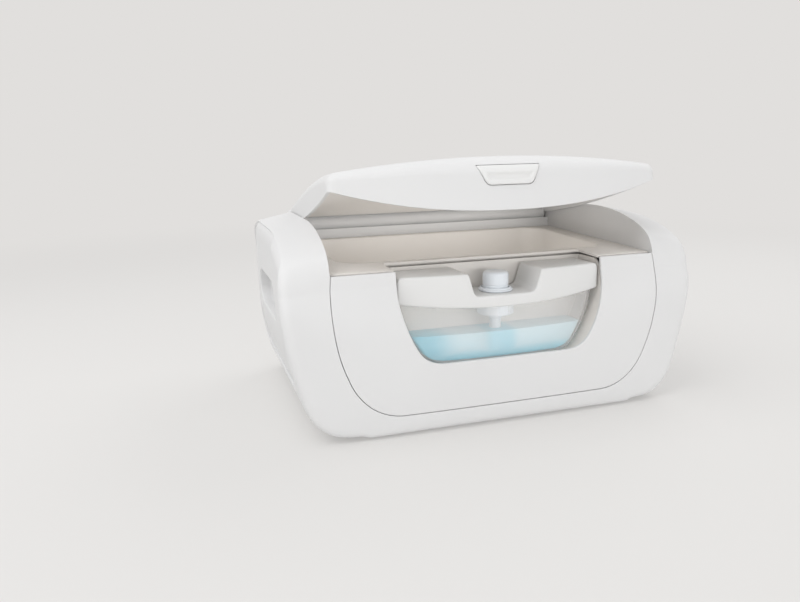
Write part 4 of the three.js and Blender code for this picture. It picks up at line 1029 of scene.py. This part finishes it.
def buildPump():
    # each profile runs from the inside out and back, with a fine groove round the head
    p = pump
    head, dome, headTop, headLow = p["head"], p["dome"], p["headTop"], p["headLow"]
    domeStart = head - dome - p["domeLead"]
    flangeTop, flangeLow, step, low = p["flangeTop"], p["flangeLow"], p["collarLow"], p["bodyLow"]
    grooveHigh, grooveLow = (flangeTop + rise for rise in p["groove"])
    groove, slope = head - p["grooveDepth"], p["grooveSlope"]
    headLine = chain(
        (0, headTop),
        softCorner((domeStart, headTop), (head, headTop), (head, headTop - dome), p["domeSteps"]),
        (head, grooveHigh), (groove, grooveHigh - slope), (groove, grooveLow + slope), (head, grooveLow),
        (head, headLow), (0, headLow),
    )
    bore, skirt, r = p["bore"], p["skirt"], p["skirtRound"]
    ringTop, floor, tubeHole = flangeTop + p["ring"], step + p["boreFloor"], p["tube"] + p["tubeGap"]
    bodyLine = chain(
        (bore, floor), (bore, ringTop), (bore + p["ring"], ringTop), (bore + p["ringFoot"], flangeTop),
        (p["flange"], flangeTop), (p["flange"], flangeLow), (p["collar"], flangeLow),
        (p["collar"], p["skirtTop"]), (skirt, p["skirtTop"]),
        softCorner((skirt, step + r), (skirt, step), (skirt - r, step), p["skirtSteps"]),
        (p["neck"], step), (p["neck"], low + p["neckRound"]), (p["neck"] - p["neckRound"], low),
        (tubeHole, low), (tubeHole, floor), (bore, floor),
    )
    tube, inner, tubeTop = p["tube"], p["tube"] - p["tubeWall"], low + p["tubeSeat"]
    tubeLine = chain((inner, p["tubeLow"]), (tube, p["tubeLow"]), (tube, tubeTop), (inner, tubeTop),
                     (inner, p["tubeLow"]))
    for (name, settings), profile in zip(turnedPieces.items(), (headLine, bodyLine, tubeLine)):
        turnPiece(name, profile, **settings)


buildPump()
print("tank and pump ready")


# Lid, in its own frame: x across, forward distance from the hinge axis, and height

lid = {
    "half": 125.5, "reach": 192, "bow": 10.5, "crest": 30, "crestShare": 0.62, "sideTop": 19,
    "sideRound": 6, "frontRound": 12, "cornerRound": 5, "crestDrop": 8, "sideDrop": 5,
    "sideLower": -3.4, "tipLower": 6, "lowerPowers": (0.7, 4), "lipLower": -14.5,
    "lipShares": (0.72, 0.94), "lipPower": 2.2, "wall": 2.4, "edgeRound": 0.7,
    "wrapEnd": 396, "wrapRows": 40, "acrossSteps": 105, "alongSteps": 76, "skirtRows": 12,
    "pinBore": 2.9, "boreEnd": 113, "knuckle": 24, "knuckleRound": 3, "knuckleEdge": 0.4,
    "knuckleAround": 48, "knuckleSteps": 7,
}


def lidPlace(x, forward, height):
    # point of the lid's frame where the lid stands at rest
    turn = math.radians(hinge["openAngle"])
    return spine(
        x, hinge["y"] - forward * math.cos(turn) + height * math.sin(turn),
        hinge["z"] + forward * math.sin(turn) + height * math.cos(turn),
    )


def lidProfile(forward, crest, drop):
    # rise from the barrel to the crest along a quarter sine, then a gentle fall to the front
    crestAt = lid["crestShare"] * lid["reach"]
    climb = np.sin(math.pi / 2 * np.clip(forward / crestAt, 0, 1))
    rise = hinge["barrel"] + (crest - hinge["barrel"]) * climb
    fall = np.clip((forward - crestAt) / (lid["reach"] - crestAt), 0, None)
    return rise - drop * fall ** 2


def lidFront(x):
    # forward distance of the bowed front edge
    across = np.minimum(np.abs(x) / lid["half"], 1)
    return lid["reach"] - lid["bow"] * across ** 2 - edgeFall(lid["half"] - np.abs(x), lid["cornerRound"])


def lidBare(x, forward):
    # top of the lid before its edges are rounded, with the radius of its front edge
    dome = 1 - np.minimum(np.abs(x) / lid["half"], 1) ** 2
    side = lidProfile(forward, lid["sideTop"], lid["sideDrop"])
    middle = lidProfile(forward, lid["crest"], lid["crestDrop"])
    return side + (middle - side) * dome, lid["sideRound"] + (lid["frontRound"] - lid["sideRound"]) * dome


def lidTop(x, forward):
    # the same with the side and front edges rounded
    bare, radius = lidBare(x, forward)
    sideFall = edgeFall(lid["half"] - np.abs(x), lid["sideRound"])
    return bare - np.hypot(sideFall, edgeFall(lidFront(x) - forward, radius))


def lidLower(x, forward):
    # lower edge: a shallow hollow along the side, and the lip that dips at the front
    across = np.minimum(np.abs(x) / lid["half"], 1)
    along = np.clip(forward / lid["reach"], 0, 1)
    hollow, tip = lid["lowerPowers"]
    line = lid["sideLower"] * np.sin(math.pi * along ** hollow) + lid["tipLower"] * along ** tip
    start, end = lid["lipShares"]
    ramp = hermite((along - start) / (end - start))
    return line + (lid["lipLower"] - lid["tipLower"]) * (1 - across ** lid["lipPower"]) * ramp


def fasciaAt(x, height):
    # forward distance of the front face at a height, where its upper edge rounds back
    bare, radius = lidBare(x, lidFront(x))
    return lidFront(x) - edgeFall(bare - height, radius)


# Latch button in the middle of the lid's front face

button = {
    "topHalf": 24, "lowHalf": 17, "high": 16.5, "low": 2.8, "corner": 3.5, "topCorner": 1.2, "proud": 1.2,
    "round": 1.1, "skirt": 5, "dish": 1.1, "dishMargin": 2.6, "dishBlend": 1.8, "lipShare": 0.62,
    "gap": 0.4, "cutBehind": 9, "cutAhead": 6, "around": 120, "rows": 34, "sharpAngle": 60,
    "bendWeight": 2, "tableX": (-30, 30), "tableZ": (-4, 24), "tableStep": 0.2,
}


def buttonLoop(grow):
    # trapezoid with round lower corners, anticlockwise from the middle of its lower edge
    b = button
    low, high, r = b["low"] - grow, b["high"] + grow, b["corner"]
    lowHalf, topHalf, t = b["lowHalf"] + grow, b["topHalf"] + grow, b["topCorner"]
    lean = (topHalf - lowHalf) / (high - low)
    right = chain(
        (0, low), softCorner((lowHalf - r, low), (lowHalf, low), (lowHalf + lean * r, low + r)),
        softCorner((topHalf - lean * t, high - t), (topHalf, high), (topHalf - t, high)), (0, high),
    )
    return closeLoop(resample(right, b["around"] // 2 + 1, b["bendWeight"]))


def buildButton():
    # rings from the middle out to the outline, with a dish under the upper lip, and a skirt
    b = button
    loop = buttonLoop(0)
    field = distanceField(loop, b["tableX"], b["tableZ"], b["tableStep"])
    centre = np.array([0, (b["low"] + b["high"]) / 2])
    share = np.sin(np.linspace(0, math.pi / 2, b["rows"]))[:, None, None]
    flat = centre * (1 - share) + loop * share
    x, height = flat[..., 0], flat[..., 1]
    inside = -lookUp(field, x, height)
    lipAt = b["low"] + b["lipShare"] * (b["high"] - b["low"])
    dish = b["dish"] * hermite(np.minimum(inside - b["dishMargin"], lipAt - height) / b["dishBlend"])
    rise = b["proud"] - edgeFall(inside, b["round"]) - dish
    face = lidPlace(x, fasciaAt(x, height) + rise, height)
    behind = b["proud"] - b["round"] - b["skirt"]
    skirt = lidPlace(x[-1], fasciaAt(x[-1], height[-1]) + behind, height[-1])
    piece = makePiece("latch_pad", [(np.concatenate([face, skirt[None]]), closedRings)], facing=(0, -1, 0))
    finishPiece(piece, "latch", buttonAbs, ["latch_button"], b["sharpAngle"])


def buttonCutter():
    # the button's outline with its gap, from behind the front face to before it
    b = button
    loop = buttonLoop(b["gap"])
    depths = (fasciaAt(0, b["low"]) - b["cutBehind"], fasciaAt(0, b["low"]) + b["cutAhead"])
    rings = np.stack([lidPlace(loop[:, 0], depth, loop[:, 1]) for depth in depths])
    ends = [np.stack([ring, ring.mean(0) + np.zeros(ring.shape)]) for ring in rings]
    return makePiece("button_hole", [(grid, openRings) for grid in (rings, *ends)],
                     centre=tuple(rings.reshape(-1, 3).mean(0)))


def buildLid():
    # the top, the faces that hang from its rim, and the top's way on round the barrel
    v = lid
    x = v["half"] * np.sin(np.linspace(-1, 1, v["acrossSteps"]) * math.pi / 2)
    along = np.sin(np.linspace(0, 1, v["alongSteps"]) * math.pi / 2)[:, None]
    forward = lidFront(x) * along
    top = lidPlace(x, forward, lidTop(x[None, :], forward))
    sides = np.full(v["alongSteps"] - 1, v["half"])
    rimX = np.r_[-sides, x, sides]
    rimF = np.r_[forward[:-1, 0], forward[-1], forward[:-1, -1][::-1]]
    down = np.linspace(0, 1, v["skirtRows"])[:, None]
    skirt = lidPlace(rimX, rimF, lidTop(rimX, rimF) * (1 - down) + lidLower(rimX, rimF) * down)
    turn = np.linspace(math.pi / 2, math.radians(v["wrapEnd"]), v["wrapRows"])[1:, None]
    radius = hinge["barrel"] - edgeFall(v["half"] - np.abs(x), v["sideRound"])
    wrap = lidPlace(x, radius * np.cos(turn), radius * np.sin(turn))
    piece = makePiece("lid_dome", [(np.concatenate([wrap[::-1], top]), {}), (skirt, {})], facing=(0, 0, 1))
    thicken(piece, v["wall"])
    cutter = buttonCutter()
    cutHole(piece, cutter)
    softenEdges(piece, v["edgeRound"])
    finishPiece(piece, "lid", shellAbs, ["lid_shell"], cutters=[cutter])


def buildKnuckle(name, side):
    # solid end of the barrel, in which the hinge pin turns
    v = lid
    r, half, soft, bore = hinge["barrel"], v["half"], v["knuckleRound"], v["pinBore"]
    turn = np.linspace(0, 2 * math.pi, v["knuckleAround"] + 1)[:-1]
    bend = np.linspace(0, math.pi / 2, v["knuckleSteps"])
    profile = chain(
        (v["boreEnd"], 0), (v["boreEnd"], bore), (half, bore), (half, r - soft),
        np.stack([half - soft + soft * np.cos(bend), r - soft + soft * np.sin(bend)], -1),
        (half - v["knuckle"], r), (half - v["knuckle"], 0),
    )
    x, radius = side * profile[:, :1], profile[:, 1:]
    grid = lidPlace(x, radius * np.cos(turn), radius * np.sin(turn))
    middle = lidPlace(side * (half - v["knuckle"] / 2), 0, 0)
    piece = makePiece(f"lid_knuckle_{name}", [(grid, openRings)], centre=tuple(middle))
    softenEdges(piece, v["knuckleEdge"])
    finishPiece(piece, "lid", shellAbs)


buildLid()
buildKnuckle("left", -1)
buildKnuckle("right", 1)
buildButton()
print("lid ready")


# Camera, floor and lights

# focal and image width in pixels, angles in degrees, place in mm
camera = {
    "focal": 700, "imageWidth": 800, "azimuth": -17.32, "elevation": 12.43, "roll": -1.22,
    "place": (-218.3, -542.3, 200.2), "sensor": 36, "clip": (0.01, 20),
}


def addCamera():
    # looks along the azimuth and elevation, then turns about that line by the roll
    turn, tip, roll = (math.radians(camera[key]) for key in ("azimuth", "elevation", "roll"))
    forward = Vector((-math.sin(turn) * math.cos(tip), math.cos(turn) * math.cos(tip), -math.sin(tip)))
    right = forward.cross(Vector((0, 0, 1))).normalized()
    up = right.cross(forward)
    right, up = right * math.cos(roll) + up * math.sin(roll), up * math.cos(roll) - right * math.sin(roll)
    data = bpy.data.cameras.new("camera")
    data.sensor_width = camera["sensor"]
    data.lens = camera["focal"] * data.sensor_width / camera["imageWidth"]
    data.clip_start, data.clip_end = camera["clip"]
    made = bpy.data.objects.new("camera", data)
    made.matrix_world = Matrix((right, up, -forward)).transposed().to_4x4()
    made.location = Vector(camera["place"]) * mm
    bpy.context.scene.collection.objects.link(made)
    bpy.context.scene.camera = made


# the floor's lengths are in mm; floorShare is how much of the backdrop's tone it has up close
studio = {
    "floor": "#e2e1df", "backdrop": "#e1dfdd", "fill": "#f6f6f7", "fillStrength": 0.62, "roughness": 0.7,
    "floorNear": 500, "floorFade": 3, "floorFar": 9000, "floorShare": 0.45, "rings": 24, "around": 96,
}


def lightPath(owner):
    # 1 where the camera, glass or gloss looks, 0 for the light that falls on the object
    path = addNode(owner, "ShaderNodeLightPath").outputs
    seen = path["Is Camera Ray"]
    for ray in ("Is Glossy Ray", "Is Transmission Ray"):
        either = addNode(owner, "ShaderNodeMath", {"operation": "MAXIMUM"}, {0: seen, 1: path[ray]})
        seen = either.outputs[0]
    return seen


def addFloor():
    # wide disc under the object; far out it turns into the even tone of the backdrop, so that no
    # horizon shows, and near the object it takes its shadow
    s = studio
    radius = np.geomspace(s["floorFar"], 1, s["rings"])
    disc = turnedGrid(np.stack([radius, 0 * radius], -1), -shiftY, s["around"])
    floor = makePiece("floor", [(disc, closedRings)], facing=(0, 0, 1))
    material, place = newMaterial("pale_table")
    away = addNode(material, "ShaderNodeVectorMath", {"operation": "LENGTH"}, {"Vector": place})
    fade = addNode(material, "ShaderNodeMapRange", {
        "From Min": s["floorNear"] * mm, "From Max": s["floorNear"] * s["floorFade"] * mm,
        "To Min": s["floorShare"], "interpolation_type": "SMOOTHSTEP"}, {"Value": away.outputs["Value"]})
    near = addNode(material, "ShaderNodeBsdfPrincipled",
                   {"Base Color": linearColor(s["floor"]), "Roughness": s["roughness"]})
    far = addNode(material, "ShaderNodeEmission", {"Color": linearColor(s["backdrop"])})
    seen = addNode(material, "ShaderNodeMath", {"operation": "MULTIPLY"},
                   {0: fade.outputs[0], 1: lightPath(material)})
    mixed = addNode(material, "ShaderNodeMixShader", None,
                    {0: seen.outputs[0], 1: near.outputs[0], 2: far.outputs[0]})
    addNode(material, "ShaderNodeOutputMaterial", None, {"Surface": mixed.outputs[0]})
    floor.data.materials.append(material)


def addWorld():
    # even fill on the object; camera, glass and gloss see the backdrop's tone
    world = bpy.data.worlds.new("studio")
    bpy.context.scene.world = world
    world.use_nodes = True
    world.node_tree.nodes.clear()
    fill, pale = (
        addNode(world, "ShaderNodeBackground", {"Color": linearColor(studio[color]), "Strength": strength})
        for color, strength in (("fill", studio["fillStrength"]), ("backdrop", 1.0))
    )
    mix = addNode(world, "ShaderNodeMixShader", None,
                  {0: lightPath(world), 1: fill.outputs[0], 2: pale.outputs[0]})
    addNode(world, "ShaderNodeOutputWorld", None, {"Surface": mix.outputs[0]})


# place, target and size in metres, power in watts; the card in the tub stands for the light that
# the pale walls throw back
tubY = (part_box("wipe_tub")[0].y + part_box("wipe_tub")[1].y) / 2
lamps = {
    "key_softbox": {"place": (-0.7, -0.2, 1.25), "target": (0, 0, 0.08), "size": (1.2, 1.2), "power": 10},
    "front_softbox": {"place": (0.3, -1.5, 0.2), "target": (0, 0, 0.13), "size": (1.4, 0.3), "power": 7},
    "left_softbox": {"place": (-1.5, -0.3, 0.2), "target": (0, 0, 0.13), "size": (0.6, 0.3), "power": 2},
    "right_softbox": {"place": (0.9, 0.5, 1.1), "target": (0, 0, 0.1), "size": (1.2, 0.8), "power": 6},
    "tub_bounce_card": {
        "place": (0, tubY, 0.045), "target": (0, tubY, 1), "size": (0.18, 0.09), "power": 0.055,
    },
}


def addLamp(name, place, target, size, power):
    # flat lamp that lights the object and isn't seen itself
    data = bpy.data.lights.new(name, "AREA")
    data.shape = "RECTANGLE"
    data.size, data.size_y = size
    data.energy = power
    lamp = bpy.data.objects.new(name, data)
    lamp.location = place
    lamp.rotation_mode = "QUATERNION"
    lamp.rotation_quaternion = (Vector(target) - Vector(place)).to_track_quat("-Z", "Y")
    lamp.visible_camera = lamp.visible_glossy = lamp.visible_transmission = False
    bpy.context.scene.collection.objects.link(lamp)


addCamera()
addFloor()
addWorld()
for name, settings in lamps.items():
    addLamp(name, **settings)
bpy.context.scene.view_settings.view_transform = "Standard"
print("studio ready")
